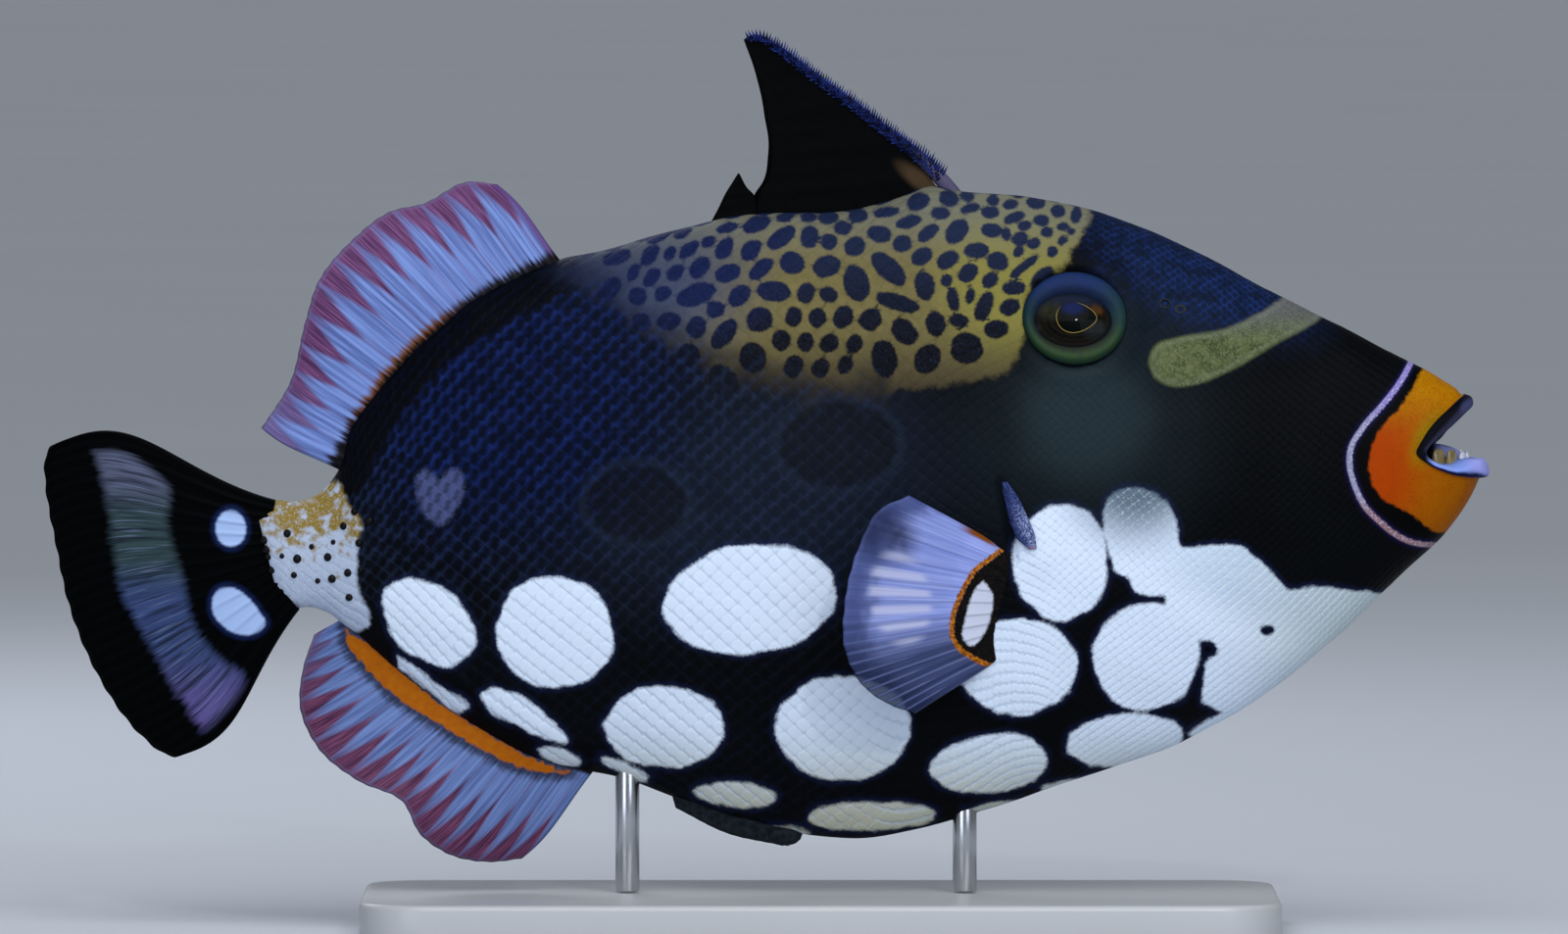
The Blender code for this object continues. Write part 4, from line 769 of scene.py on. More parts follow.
def plate_places(hand, start, end):
    """Ring, column and pitch of each plate's middle on one side, between two lengths."""
    quarter = AROUND // 4
    columns = np.arange(0, half_way + 1) if hand < 0 else np.arange(AROUND, half_way - 1, -1)
    rings, places, sizes = [], [], []
    length, number = 2.0, 0
    while length < min(end, along_length[last_ring]):
        ring = np.interp(length, along_length, np.arange(len(along_length)))
        low = int(ring)
        before, after = around_length[low][columns], around_length[low + 1][columns]
        lengths = np.abs(before * (1 - ring + low) + after * (ring - low))
        if hand > 0:
            lengths[-1] = lengths[-2] + (lengths[-2] - lengths[-3])
        pitch = plate_pitch(length)
        from_flank = lengths - lengths[quarter]
        wanted = np.arange(math.ceil(from_flank[0] / pitch) - 1, math.floor(from_flank[-1] / pitch) + 2)
        wanted = (wanted + (0.5 if number % 2 else 0.0)) * pitch
        wanted = wanted[(wanted > from_flank[0] + 0.3 * pitch) & (wanted < from_flank[-1] - 0.3 * pitch)]
        if length >= start:
            places.append(np.interp(wanted, from_flank, columns))
            rings.append(np.full(len(wanted), ring))
            sizes.append(np.full(len(wanted), pitch))
        length += pitch * PLATE_ASPECT
        number += 1
    return np.concatenate(rings), np.concatenate(places), np.concatenate(sizes)


def plate_coat(name, hand, start, end):
    ring, column, pitch = plate_places(hand, start, end)
    ring = ring + random.uniform(-0.12, 0.12, ring.shape)
    x, y, z = grid_sample(hide, ring, column).T
    keep = (np.hypot(x - EYE_CENTRE[0], z - EYE_CENTRE[2]) > CLEAR_OF_EYE) | (np.abs(y) < 6)
    keep &= segment_distance(x, z, (49.0, 93.4), (52.2, 78.0)) > CLEAR_OF_SLIT
    keep &= ahead_of(x, z, MUZZLE_LINE) > CLEAR_OF_MUZZLE
    for hole_x, hole_z, _ in NOSTRILS:
        keep &= np.hypot(x - hole_x, z - hole_z) > CLEAR_OF_NOSTRIL
    ring, column, pitch = ring[keep, None], column[keep, None], pitch[keep, None]
    count = len(ring)
    ring_step = grid_sample(hide, ring + 0.5, column) - grid_sample(hide, ring - 0.5, column)
    ring_step = np.linalg.norm(ring_step, axis=-1)
    column_step = grid_sample(hide, ring, column + 0.5) - grid_sample(hide, ring, column - 0.5)
    column_step = np.linalg.norm(column_step, axis=-1)
    # Three loops of eight points and a crown: the outermost is sunk in the hide.
    turn = np.append(np.tile(np.arange(PLATE_CORNERS) / PLATE_CORNERS * 2 * np.pi, 3), 0.0)
    size = np.append(np.repeat((1.0, 0.95, 0.6), PLATE_CORNERS), 0.0)
    shape = size * (np.abs(np.cos(turn)) ** 1.35 + np.abs(np.sin(turn)) ** 1.35) ** (-1 / 1.35)
    lengthwise, crosswise = np.cos(turn) * shape, np.sin(turn) * shape
    lift = np.append(np.repeat((-0.4, 0.5, 1.0), PLATE_CORNERS), 1.1) + 0.35 * np.clip(lengthwise, 0, 1) * (
        size < 0.99
    )
    behind = pitch * PLATE_ASPECT * random.uniform(0.94, 1.03, (count, 1)) * lengthwise
    down = pitch * 0.49 * random.uniform(0.94, 1.03, (count, 1)) * crosswise
    thick = (0.032 + 0.015 * (pitch - 2.0)) * random.uniform(0.7, 1.3, (count, 1))
    rings, columns = ring - behind / ring_step, column + down / column_step
    out = grid_sample(hide_out, rings, columns)
    out /= np.linalg.norm(out, axis=-1, keepdims=True)
    vertices = grid_sample(hide, rings, columns) + out * (thick * lift)[..., None]
    faces = []
    top_loop, crown = 2 * PLATE_CORNERS, 3 * PLATE_CORNERS
    for first in (0, PLATE_CORNERS):
        for step in range(PLATE_CORNERS):
            a, b = first + step, first + (step + 1) % PLATE_CORNERS
            faces += [(a, b, b + PLATE_CORNERS), (a, b + PLATE_CORNERS, a + PLATE_CORNERS)]
    first_crown_face = len(faces)
    faces += [(top_loop + step, top_loop + (step + 1) % PLATE_CORNERS, crown) for step in range(PLATE_CORNERS)]
    faces += [(0, step + 1, step) for step in range(1, PLATE_CORNERS - 1)]
    faces = np.array(faces)
    crown_face = vertices[:, faces[first_crown_face]]
    facing = np.cross(crown_face[:, 1] - crown_face[:, 0], crown_face[:, 2] - crown_face[:, 0])
    if np.sum(facing * out[:, crown]) < 0:
        faces = faces[:, ::-1]
    all_faces = (faces[None] + (np.arange(count) * (crown + 1))[:, None, None]).reshape(-1, 3)
    mesh = bpy.data.meshes.new(name)
    mesh.from_pydata((vertices.reshape(-1, 3) * MM).tolist(), [], all_faces.tolist())
    # The dark middle of each plate is a slanting oval; its blue rim runs into its neighbours' rims.
    slant = math.radians(25) * -hand
    long_way = down * math.cos(slant) + behind * math.sin(slant)
    short_way = behind * math.cos(slant) - down * math.sin(slant)
    facts = hide_markings(vertices)
    facts["rim"] = np.clip((np.hypot(short_way / (0.31 * pitch), long_way / (0.47 * pitch)) - 0.6) / 0.7, 0, 1)
    facts["seam"] = np.broadcast_to(size, rings.shape)
    facts["lip"] = np.zeros(rings.shape)
    add_facts(mesh, facts)
    root = np.stack((ring / len(hide), column / AROUND), axis=-1) * 0.96 + 0.02
    patch = root + np.stack((behind, down), axis=-1) / pitch[..., None] * 0.003
    layer = mesh.uv_layers.new(name="OFBake")
    layer.data.foreach_set("uv", patch.reshape(-1, 2)[all_faces.ravel()].ravel())
    coat = bpy.data.objects.new(name, mesh)
    bpy.context.scene.collection.objects.link(coat)
    set_active(coat)
    bpy.ops.object.shade_smooth_by_angle(angle=math.radians(50))
    coat.data.materials.append(skin_finish)
    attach(coat, "root")


for side_name, hand in (("right", -1), ("left", 1)):
    plate_coat(f"scales_rear_{side_name}", hand, 0.0, BODY_PART_END)
    plate_coat(f"scales_head_{side_name}", hand, BODY_PART_END, math.inf)


# Eyes: a domed eyeball with a painted iris and a pear-shaped pupil under clear gloss, and round
# it a cushion of bare skin, blue above and green below, which lies in a socket of the hide.
EYE_RING = (10.9, 9.9)
IRIS_PLACE = (-0.4, -0.6)
IRIS_SIZE = (8.1, 5.7)
# Cushion from the iris outwards: millimetres from its inner edge, height out of the head.
EYE_FORM = (
    (-0.3, -2.4), (-0.25, 0.2), (0.0, 0.75), (0.3, 0.95), (0.9, 1.12), (1.7, 1.2), (2.4, 1.1), (2.9, 0.85),
    (3.25, 0.45), (3.5, -0.2), (3.55, -1.3), (3.4, -2.6), (1.6, -2.8), (-0.3, -2.4),
)
PUPIL_PLACE = (0.25, -0.1)
PUPIL_SIZE = (4.2, 3.16)


def on_eye(points, hand):
    """Moves points from the eye's own place, +X forward and +Y up, to the head."""
    up, ahead = math.radians(EYE_UP_TILT), math.radians(EYE_FORWARD_TILT)
    look = Vector((math.sin(ahead), hand * math.cos(up) * math.cos(ahead), math.sin(up))).normalized()
    forward_axis = (Vector((1, 0, 0)) - look * look.x).normalized()
    turn = Matrix((forward_axis, -hand * look.cross(forward_axis), look))
    return points @ np.array(turn) + (EYE_CENTRE[0], hand * EYE_CENTRE[1], EYE_CENTRE[2])


EYE_STEPS = 129
CUSHION_WIDTH = 3.5
BALL_SIZE = (8.7, 6.3)
eye_turns = np.linspace(0, 2 * np.pi, EYE_STEPS)
cushion_line = smooth_curve(EYE_FORM, np.linspace(0, 1, 64))
cushion_share = cushion_line[:, 0, None] / CUSHION_WIDTH
cushion_sizes = [IRIS_SIZE[axis] + (EYE_RING[axis] - IRIS_SIZE[axis]) * cushion_share for axis in (0, 1)]
cushion_points = np.stack(
    (
        IRIS_PLACE[0] * (1 - cushion_share) + cushion_sizes[0] * np.cos(eye_turns),
        IRIS_PLACE[1] * (1 - cushion_share) + cushion_sizes[1] * np.sin(eye_turns),
        cushion_line[:, 1, None] * np.ones(EYE_STEPS),
    ),
    axis=-1,
)
ball_share = np.append(np.linspace(0, 1, 60), (1.0, 0.0))[:, None]
ball_height = 0.4 + 1.5 * (1 - ball_share**2)
ball_height[-2:] = -1.5
ball_points = np.stack(
    (
        IRIS_PLACE[0] + BALL_SIZE[0] * ball_share * np.cos(eye_turns),
        IRIS_PLACE[1] + BALL_SIZE[1] * ball_share * np.sin(eye_turns),
        ball_height * np.ones(EYE_STEPS),
    ),
    axis=-1,
)
pear_turns = np.linspace(0, 2 * np.pi, 40)[:-1]
pear = 1 - 0.24 * np.cos(pear_turns) - 0.08 * np.cos(pear_turns) ** 2
pupil_edge = tuple(
    zip(
        PUPIL_PLACE[0] + PUPIL_SIZE[0] * np.cos(pear_turns),
        PUPIL_PLACE[1] + PUPIL_SIZE[1] * np.sin(pear_turns) * pear,
    )
)

# Bare skin round the eye: smooth and damp-looking, blue above, teal at the sides, green below,
# with painted shade on its inner slope above the eyeball and along its outer edge in the socket.
cushion_finish = new_finish("bare_eye_skin", 0.45, 0.05)
fact = read_facts("eye_x", "eye_y", "share")
eye_place = node("CombineXYZ", fact["eye_x"], 0.0, fact["eye_y"])
mottle = node("TexNoise", inputs={"Vector": eye_place, "Scale": 0.6, "Detail": 3.0, "Roughness": 0.6})
band = node("MapRange", fact["share"], 0.1, 0.5)
above = node("Mix", node("MapRange", fact["eye_y"], 1.0, 7.5), "#122a34", "#172a58")
above = node("Mix", node("MapRange", fact["eye_x"], 3.0, 10.0, 0.0, 0.6), above, "#1e3838")
below = node("Mix", band, "#242a1e", "#2f4428")
below = node("Mix", node("MapRange", fact["share"], 0.5, 0.85), below, "#1a301c")
colour = node("Mix", node("MapRange", fact["eye_y"], -6.0, 2.5), below, above)
# Painted shade on the inner slope above the eyeball, which faces down.
dim = node(
    "Math", node("MapRange", fact["share"], 0.5, 0.1), node("MapRange", fact["eye_y"], 0.0, 4.0),
    operation="MULTIPLY",
)
for where, tint in (
    (dim, "#101a36"),
    (node("MapRange", mottle, 0.45, 0.7, 0.0, 0.35), "#142a34"),
    # Painted shade along the outer edge, where the cushion dips into the socket.
    (node("MapRange", fact["share"], 0.9, 0.99), "#0a1420"),
):
    colour = node("Mix", where, colour, tint)
finish_with(colour, mottle, 0.15)

# Eyeball: painted under thick clear resin, with brown rings, amber by the pupil's tip, blue above,
# and a hair-thin gold line round a black pupil, with a painted blue reflection at the pupil's upper left where
# the gold line is left out.
ball_finish = new_finish("glass_eye", 0.4, 0.02, Coat_Weight=0.05, Coat_Roughness=0.04, Coat_IOR=1.5)
fact = read_facts("eye_x", "eye_y", "pupil")
eye_place = node("CombineXYZ", fact["eye_x"], 0.0, fact["eye_y"])
iris_place = node(
    "Mapping", eye_place, (IRIS_PLACE[0], 0, IRIS_PLACE[1]), (0, 0, 0), (IRIS_SIZE[0], 1, IRIS_SIZE[1]),
    vector_type="TEXTURE",
)
iris_round = node("VectorMath", iris_place, operation="LENGTH")
mottle = node("TexNoise", inputs={"Vector": eye_place, "Scale": 0.9, "Detail": 4.0, "Roughness": 0.65})
rings = node(
    "TexNoise",
    inputs={
        "Vector": node("CombineXYZ", node("Math", mottle, 0.12, iris_round, operation="MULTIPLY_ADD")),
        "Scale": 9.0, "Detail": 3.0,
    },
)
colour = node("Mix", node("MapRange", rings, 0.4, 0.62), "#050706", "#1a140c")
olive = node(
    "Math", soft_zone(eye_place, (-5.2, 1.9), (3.6, 3.0)), node("MapRange", mottle, 0.3, 0.6),
    operation="MULTIPLY",
)
colour = node("Mix", olive, colour, "#1f2210")
amber = node(
    "Math", soft_zone(eye_place, (4.5, 1.7), (2.2, 1.4), -35), node("MapRange", mottle, 0.3, 0.55),
    operation="MULTIPLY",
)
for where, tint in (
    (amber, "#42290a"),
    (soft_zone(eye_place, (4.2, -2.6), (3.6, 2.2), 30, 0.5), "#20262a"),
    (node("MapRange", fact["eye_y"], 1.6, 4.2, 0.0, 0.9), "#0a1630"),
    (node("MapRange", iris_round, 0.82, 1.0, 0.0, 0.8), "#0a0f16"),
):
    colour = node("Mix", where, colour, tint)
# Painted reflection: a blue sheen over the pupil's upper left.
black = node("Mix", soft_zone(eye_place, (-0.6, 1.9), (3.4, 2.1), 0, 0.85), "#010403", "#08194a")
colour = node("Mix", node("MapRange", fact["pupil"], 0.1, -0.1), colour, black)
gold = node("MapRange", fact["pupil"], 0.0, 0.07, 1.0, 0.0)
gold = node("Math", gold, node("MapRange", fact["pupil"], -0.08, -0.02), operation="MULTIPLY")
# The gold line is left out under the painted reflection.
gold = node(
    "Math", gold, node("Math", 1.0, soft_zone(eye_place, (-1.6, 2.9), (4.2, 2.6)), operation="SUBTRACT"),
    operation="MULTIPLY",
)
colour = node("Mix", gold, colour, "#a8964c")
finish_with(colour)

for side_name, hand in (("right", -1), ("left", 1)):
    eye_facts = {
        "eye_x": cushion_points[..., 0], "eye_y": cushion_points[..., 1],
        "share": cushion_share * np.ones(EYE_STEPS),
    }
    cushion = rolled_grid(f"eye_cushion_{side_name}", on_eye(cushion_points, hand), eye_facts)
    cushion.data.materials.append(cushion_finish)
    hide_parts(f"eye_{side_name}")
    eye_facts = {
        "eye_x": ball_points[..., 0], "eye_y": ball_points[..., 1],
        "pupil": outline_distance(ball_points[..., 0], ball_points[..., 1], pupil_edge),
    }
    ball = rolled_grid(f"eyeball_{side_name}", on_eye(ball_points, hand), eye_facts)
    ball.data.materials.append(ball_finish)
    for piece in (cushion, ball):
        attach(piece, "root")


# Nostrils: two small holes before each eye, each with a low fleshy rim and a floor painted near-black
# as shade in the pit. The rear one's floor is all painted shade, and the front one's holds a pale flap.
def nearest_on_hide(x, z, hand):
    """Point of the hide and its outward direction at a place seen from the side."""
    flank = slice(4, half_way - 4) if hand < 0 else slice(half_way + 4, AROUND - 4)
    part = hide[:last_ring, flank]
    gap = (part[..., 0] - x) ** 2 + (part[..., 2] - z) ** 2
    ring, column = np.unravel_index(np.argmin(gap), gap.shape)
    return part[ring, column], hide_out[:last_ring, flank][ring, column]


nostril_turns = np.linspace(0, 2 * np.pi, 29)
NOSTRIL_FORM = (
    (0.0, -0.6), (1.55, -0.3), (1.35, 0.1), (1.05, 0.26), (0.8, 0.16), (0.66, -0.1), (0.5, -0.25), (0.0, -0.2),
)
for number, (painted_pit_shade, pit_floor_light) in enumerate((("#010203", "#05070c"), ("#06080c", "#39403c"))):
    nostril_finish = new_finish(f"nostril_flesh_and_shade_{number}", 0.5, 0.1)
    centre_share = node("MapRange", read_facts("middle")["middle"], 1.15, 0.85)
    mottle = node("TexNoise", inputs={"Vector": place_in_mm(), "Scale": 2.2, "Detail": 2.0})
    # Painted shade: the pit's floor is near-black; in the front nostril a pale flap lies in it.
    floor_colour = node("Mix", mottle, painted_pit_shade, pit_floor_light)
    finish_with(node("Mix", centre_share, node("Mix", mottle, "#10161f", "#2c3642"), floor_colour), mottle)
    x, z, radius = NOSTRILS[number]
    for side_name, hand in (("right", -1), ("left", 1)):
        spot, outward = nearest_on_hide(x, z, hand)
        turn = np.array(Vector(outward).to_track_quat("Z", "Y").to_matrix())
        form = np.array(NOSTRIL_FORM)
        rim_points = np.stack(
            (
                form[:, 0, None] * radius * np.cos(nostril_turns), form[:, 0, None] * radius * 0.85 * np.sin(
                    nostril_turns
                ),
                np.broadcast_to(form[:, 1, None] + 0.06, (8, 29)),
            ),
            axis=-1,
        )
        nostril = rolled_grid(
            f"nostril_{side_name}_{number}", rim_points @ turn.T + spot,
            {"middle": np.broadcast_to(form[:, 0, None], (8, 29))},
        )
        nostril.data.materials.append(nostril_finish)
        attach(nostril, "root")


# Teeth: eight chisel-shaped incisors in each jaw, close set, yellowish enamel, rooted behind
# the lips. Only the lower row shows well in the slightly open mouth.
TOOTH_ROWS = (
    ("lower", 1, ((138.6, 7.2, 100.6), (142.0, 6.3, 100.3), (145.0, 4.4, 99.8), (146.2, 0.0, 99.8))),
    ("upper", -1, ((140.2, 6.0, 103.6), (142.0, 5.2, 105.0), (143.8, 3.2, 106.4), (144.6, 0.0, 107.0))),
)


def mesh_points(piece):
    """The points of a new primitive, one row each."""
    points = np.empty(len(piece.data.vertices) * 3)
    piece.data.vertices.foreach_get("co", points)
    return points.reshape(-1, 3)


TEETH = 8
TOOTH_HALF = (1.5, 1.72, 2.2)
JAW_MIDDLE = 136.0
tooth_finish = new_finish("tooth_enamel", 0.28, 0.5, Coat_Weight=0.25, Coat_Roughness=0.1)
place = place_in_mm()
stain = node("TexNoise", inputs={"Vector": place, "Scale": 0.45, "Detail": 3.0})
enamel = node("Mix", stain, "#4e4222", "#98875a")
# Painted light: the front teeth turn near-white where the light falls on them.
enamel = node("Mix", node("MapRange", node("SeparateXYZ", place), 143.0, 145.6), enamel, "#c8cee0")
finish_with(enamel)
for row_name, upward, half_line in TOOTH_ROWS:
    line = [(x, -y, z) for x, y, z in half_line] + [(x, y, z) for x, y, z in half_line[-2::-1]]
    teeth = []
    for tip in smooth_curve(line, (np.arange(TEETH) + 0.5) / TEETH):
        bpy.ops.object.select_all(action="DESELECT")
        bpy.ops.mesh.primitive_cube_add(size=1)
        tooth = bpy.context.object
        bpy.ops.object.mode_set(mode="EDIT")
        bpy.ops.mesh.subdivide(number_cuts=3, smoothness=0.6)
        bpy.ops.object.mode_set(mode="OBJECT")
        shape = mesh_points(tooth)
        shape /= np.abs(shape).max()
        out_share = (shape[:, 2] + 1) / 2
        shape[:, 0] *= 0.75 - 0.5 * out_share
        shape[:, 1] *= 1.0 - 0.1 * out_share
        shape *= np.array(TOOTH_HALF) * (0.95 + 0.1 * random.random())
        shape[:, 2] = (shape[:, 2] - TOOTH_HALF[2]) * upward
        turn = math.atan2(tip[1], tip[0] - JAW_MIDDLE) * 0.9
        spin = np.array(Matrix.Rotation(turn, 3, "Z"))
        tooth.data.vertices.foreach_set("co", ((shape @ spin.T + tip) * MM).ravel())
        teeth.append(tooth)
    bpy.ops.object.select_all(action="DESELECT")
    for tooth in teeth:
        tooth.select_set(True)
    bpy.context.view_layer.objects.active = teeth[0]
    bpy.ops.object.join()
    jaw_row = bpy.context.object
    jaw_row.name = jaw_row.data.name = f"teeth_{row_name}"
    outward_faces(jaw_row)
    bpy.ops.object.shade_smooth_by_angle(angle=math.radians(50))
    jaw_row.data.materials.append(tooth_finish)
    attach(jaw_row, "root")

# Inside of the mouth: two soft pads of flesh, the roof behind the upper teeth and the floor behind the lower
# ones, pale violet where the floor reaches the lip and painted near-black as shade at the back and over the roof.
pad_flesh_and_shade_finish = new_finish("mouth_flesh_and_painted_shade", 0.5, 0.06)
place = place_in_mm()
violet = node("Mix", node("TexNoise", inputs={"Vector": place, "Scale": 0.9}), "#6a72ac", "#8d94cf")
# Painted shade: near-black at the back of the mouth and over the roof.
violet = node("Mix", node("MapRange", node("SeparateXYZ", place), 140.6, 138.6), violet, "#070506")
violet = node("Mix", node("MapRange", node("SeparateXYZ", place, output=2), 101.7, 102.4), violet, "#070506")
finish_with(violet)
for pad_name, middle, half_sizes, tilt in (
    ("mouth_floor", (139.6, 0.0, 98.9), (6.0, 4.4, 2.5), 6.0),
    ("mouth_roof", (138.0, 0.0, 103.4), (5.4, 5.0, 2.6), -38.0),
):
    bpy.ops.object.select_all(action="DESELECT")
    bpy.ops.mesh.primitive_uv_sphere_add(segments=40, ring_count=24, radius=1)
    pad = bpy.context.object
    pad.name = pad.data.name = pad_name
    shape = mesh_points(pad)
    shape[:, 2] -= 0.12 * np.exp(-((shape[:, 1] / 0.2) ** 2)) * np.clip(shape[:, 2], 0, 1)
    shape = (shape * half_sizes) @ np.array(Matrix.Rotation(math.radians(tilt), 3, "Y")).T + middle
    pad.data.vertices.foreach_set("co", (shape * MM).ravel())
    bpy.ops.object.shade_smooth()
    pad.data.materials.append(pad_flesh_and_shade_finish)
    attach(pad, "root")


# Soft dorsal and anal fins: thin webs of clear skin stretched over jointed rays, which stand as
# ridges on both faces, fork towards the margin and grow finer. Each is one closed blade, its foot
# sunk in the body, pale blue with a plum margin that runs inwards in narrow spikes.
def fin_blade(
    name, root, margin, rays, rows, half, side, bow, facts=None, steps=8, bend=1.8, ragged=0.005, corner=0.0
):
    """A blade rolled over its margin; half and side give thickness and sideways place."""
    columns = rays * steps + 1
    along = np.linspace(0, 1, columns)[None, :]
    out = 1 - np.abs(np.linspace(-1, 1, 2 * rows + 1))[:, None]
    face = np.sign(np.linspace(-1, 1, 2 * rows + 1))[:, None]
    feet = smooth_curve(root, along[0])
    line = smooth_curve(margin, along[0]) - feet
    length = np.linalg.norm(line, axis=1)
    normal = np.column_stack((-line[:, 1], line[:, 0])) / length[:, None]
    phase = along * rays
    into = np.clip(np.minimum(along, 1 - along) / 0.08, 0, 1)
    reach = out * (1 - ragged * (0.5 - 0.5 * np.cos(2 * np.pi * phase)) * out**4)
    reach *= 1 - corner * (1 - np.sqrt(into * (2 - into))) * out**3
    arch = (bow[0] + (bow[1] - bow[0]) * along) * np.sin(np.pi * out**bend)
    x = feet[:, 0] + line[:, 0] * reach + normal[:, 0] * arch
    z = feet[:, 1] + line[:, 1] * reach + normal[:, 1] * arch
    whole = 0.5 + 0.5 * np.cos(2 * np.pi * phase)
    forked = 0.5 + 0.5 * np.cos(4 * np.pi * phase)
    fork = np.clip((out - 0.35) / 0.3, 0, 1)
    ray = whole**3 * (1 - fork) + forked**2 * fork
    joints = 0.85 + 0.15 * np.cos(out * length * 2 * np.pi / 1.1)
    thick = half(along, out, ray * joints)
    at_edge, at_ends = (1 - out) * rows / 1.5, np.minimum(along, 1 - along) * columns / 2.5
    thick *= np.clip(at_edge, 0, 1) ** 0.5 * np.clip(at_ends, 0, 1) ** 0.5
    own = {
        "ray": ray * np.ones_like(x),
        "root_mm": out * length,
        "edge_mm": (1 - out) * length,
        "span": along * np.ones_like(x),
    }
    for key, measure in (facts or {}).items():
        own[key] = measure(x, z)
    piece = rolled_grid(name, np.stack((x, side(along, out, x, z) + face * thick, z), axis=-1), own)
    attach(piece, "root")
    return piece


def web(root_half, edge_half, ridge):
    """Half thickness of a fin with ridged rays, in millimetres."""
    change = edge_half - root_half
    return lambda along, out, ray: root_half + change * np.clip(out * 1.25, 0, 1) + ridge * (1 - 0.65 * out) * ray


SOFT_DORSAL_ROOT = ((-40.9, 138.0), (-56.5, 129.8), (-70.3, 119.2), (-79.0, 108.8), (-86.6, 95.2))
SOFT_DORSAL_MARGIN = (
    (-55.0, 155.0), (-61.0, 155.6), (-70.5, 151.0), (-77.0, 149.5), (-85.0, 143.6),
    (-92.0, 135.0), (-94.8, 126.4), (-98.0, 114.0), (-104.0, 104.4),
)
ANAL_ROOT = ((-34.6, 33.8), (-48.4, 38.6), (-60.0, 45.0), (-72.8, 54.4), (-86.0, 65.6))
ANAL_MARGIN = (
    (-50.0, 14.8), (-56.5, 14.1), (-64.5, 15.6), (-71.0, 20.2), (-74.6, 27.0),
    (-84.0, 31.4), (-92.0, 37.6), (-96.0, 45.8), (-95.4, 54.5), (-93.0, 61.6),
)
ANAL_BAND = (
    (-86.6, 62.8), (-77.0, 56.3), (-67.3, 47.7), (-57.7, 41.6), (-48.0, 36.2), (-39.8, 33.0),
    (-50.0, 33.9), (-57.7, 37.4), (-67.3, 43.1), (-77.0, 49.4), (-83.1, 55.7), (-86.4, 60.1),
)


def wave(height_out, waves, start):
    return lambda along, out, x, z: height_out * out**1.4 * np.sin(2 * np.pi * (waves * along + start))


def fin_streaks(fact, span_scale):
    """Noise drawn out along a fin's rays."""
    across = node("Math", fact["span"], span_scale, operation="MULTIPLY")
    lengthwise = node("Math", fact["edge_mm"], 0.025, operation="MULTIPLY")
    return node("CombineXYZ", across, lengthwise)


def saw_fin(name, teeth, pale, plum, hem_colour):
    """Material of a pale fin whose dark margin runs inwards in long narrow spikes."""
    material = new_finish(name, 0.5, 0.08)
    fact = read_facts("ray", "root_mm", "edge_mm", "span", "orange_band")
    stretch = fin_streaks(fact, 60.0)
    streak = node("TexNoise", inputs={"Vector": stretch, "Scale": 1.6, "Detail": 3.0, "Roughness": 0.6})
    fine = node("TexNoise", inputs={"Vector": stretch, "Scale": 4.6, "Detail": 2.0})
    slow = node("TexNoise", inputs={"Vector": stretch, "Scale": 0.05, "Detail": 1.0})
    inward = node(
        "Math", fact["edge_mm"], node("Math", fact["edge_mm"], fact["root_mm"], operation="ADD"),
        operation="DIVIDE",
    )
    count = node(
        "Math", fact["span"], teeth, node("Math", slow, 1.2, -0.6, operation="MULTIPLY_ADD"),
        operation="MULTIPLY_ADD",
    )
    beat = node("Math", node("Math", count, 0.5, operation="PINGPONG"), 2.0, operation="MULTIPLY")
    uneven = node("Math", fine, 0.14, -0.07, operation="MULTIPLY_ADD")
    way_in = node("Math", inward, uneven, operation="ADD")
    width = node("MapRange", way_in, 0.05, 0.56, 0.92, 0.0, interpolation_type="LINEAR")
    margin = node(
        "MapRange", node("Math", node("Math", beat, width, operation="ADD"), 1.0, operation="SUBTRACT"), -0.2,
        0.22,
    )
    haze = node("MapRange", way_in, 0.34, 0.0, 0.0, 0.7)
    margin = node(
        "Math", node("Math", margin, haze, operation="MAXIMUM"),
        node("MapRange", fact["span"], 0.8, 1.0, 1.0, 0.6), operation="MULTIPLY",
    )
    base = node("Mix", node("MapRange", streak, 0.32, 0.66), *pale)
    spikes = node("Mix", node("MapRange", fine, 0.36, 0.64), *plum)
    colour = node("Mix", margin, base, spikes)
    hem = node("MapRange", node("Math", fine, 1.0, fact["edge_mm"], operation="MULTIPLY_ADD"), 1.6, 0.6, 0.0, 0.6)
    return material, fact, streak, node("Mix", hem, colour, hem_colour)


# Soft dorsal web: rusty brown fuzz over a black fleshy foot, and a plum leading edge.
dorsal_finish, fact, streak, colour = saw_fin(
    "dorsal_fin_web", 13.6, ("#5669a4", "#7a93d2"), ("#4c2c52", "#7a4e7c"), "#766c94"
)
lead = node("MapRange", fact["span"], 0.03, 0.012, 0.0, 0.85)
colour = node("Mix", lead, colour, "#5a3a74")
fuzz = node("Math", streak, 5.6, node("Math", fact["root_mm"], -3.8, operation="ADD"), operation="MULTIPLY_ADD")
rust = node("Mix", node("MapRange", fact["span"], 0.3, 0.5), "#1c1624", "#6a3c10")
rust = node("Mix", node("MapRange", fact["span"], 0.72, 0.9), rust, "#1c1420")
colour = node("Mix", node("MapRange", fuzz, 4.2, 2.2), colour, rust)
colour = node("Mix", node("MapRange", fuzz, 2.6, 1.4), colour, "#06060a")
finish_with(colour, node("Math", streak, 0.6, fact["ray"], operation="MULTIPLY_ADD"), 0.4)
soft_dorsal = fin_blade(
    "soft_dorsal_web", SOFT_DORSAL_ROOT, SOFT_DORSAL_MARGIN, 26, 34, web(1.2, 0.3, 0.2), wave(3.4, 1.15, 0.1),
    (-0.9, 0.8),
)
soft_dorsal.data.materials.append(dorsal_finish)
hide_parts("soft_dorsal_fin")

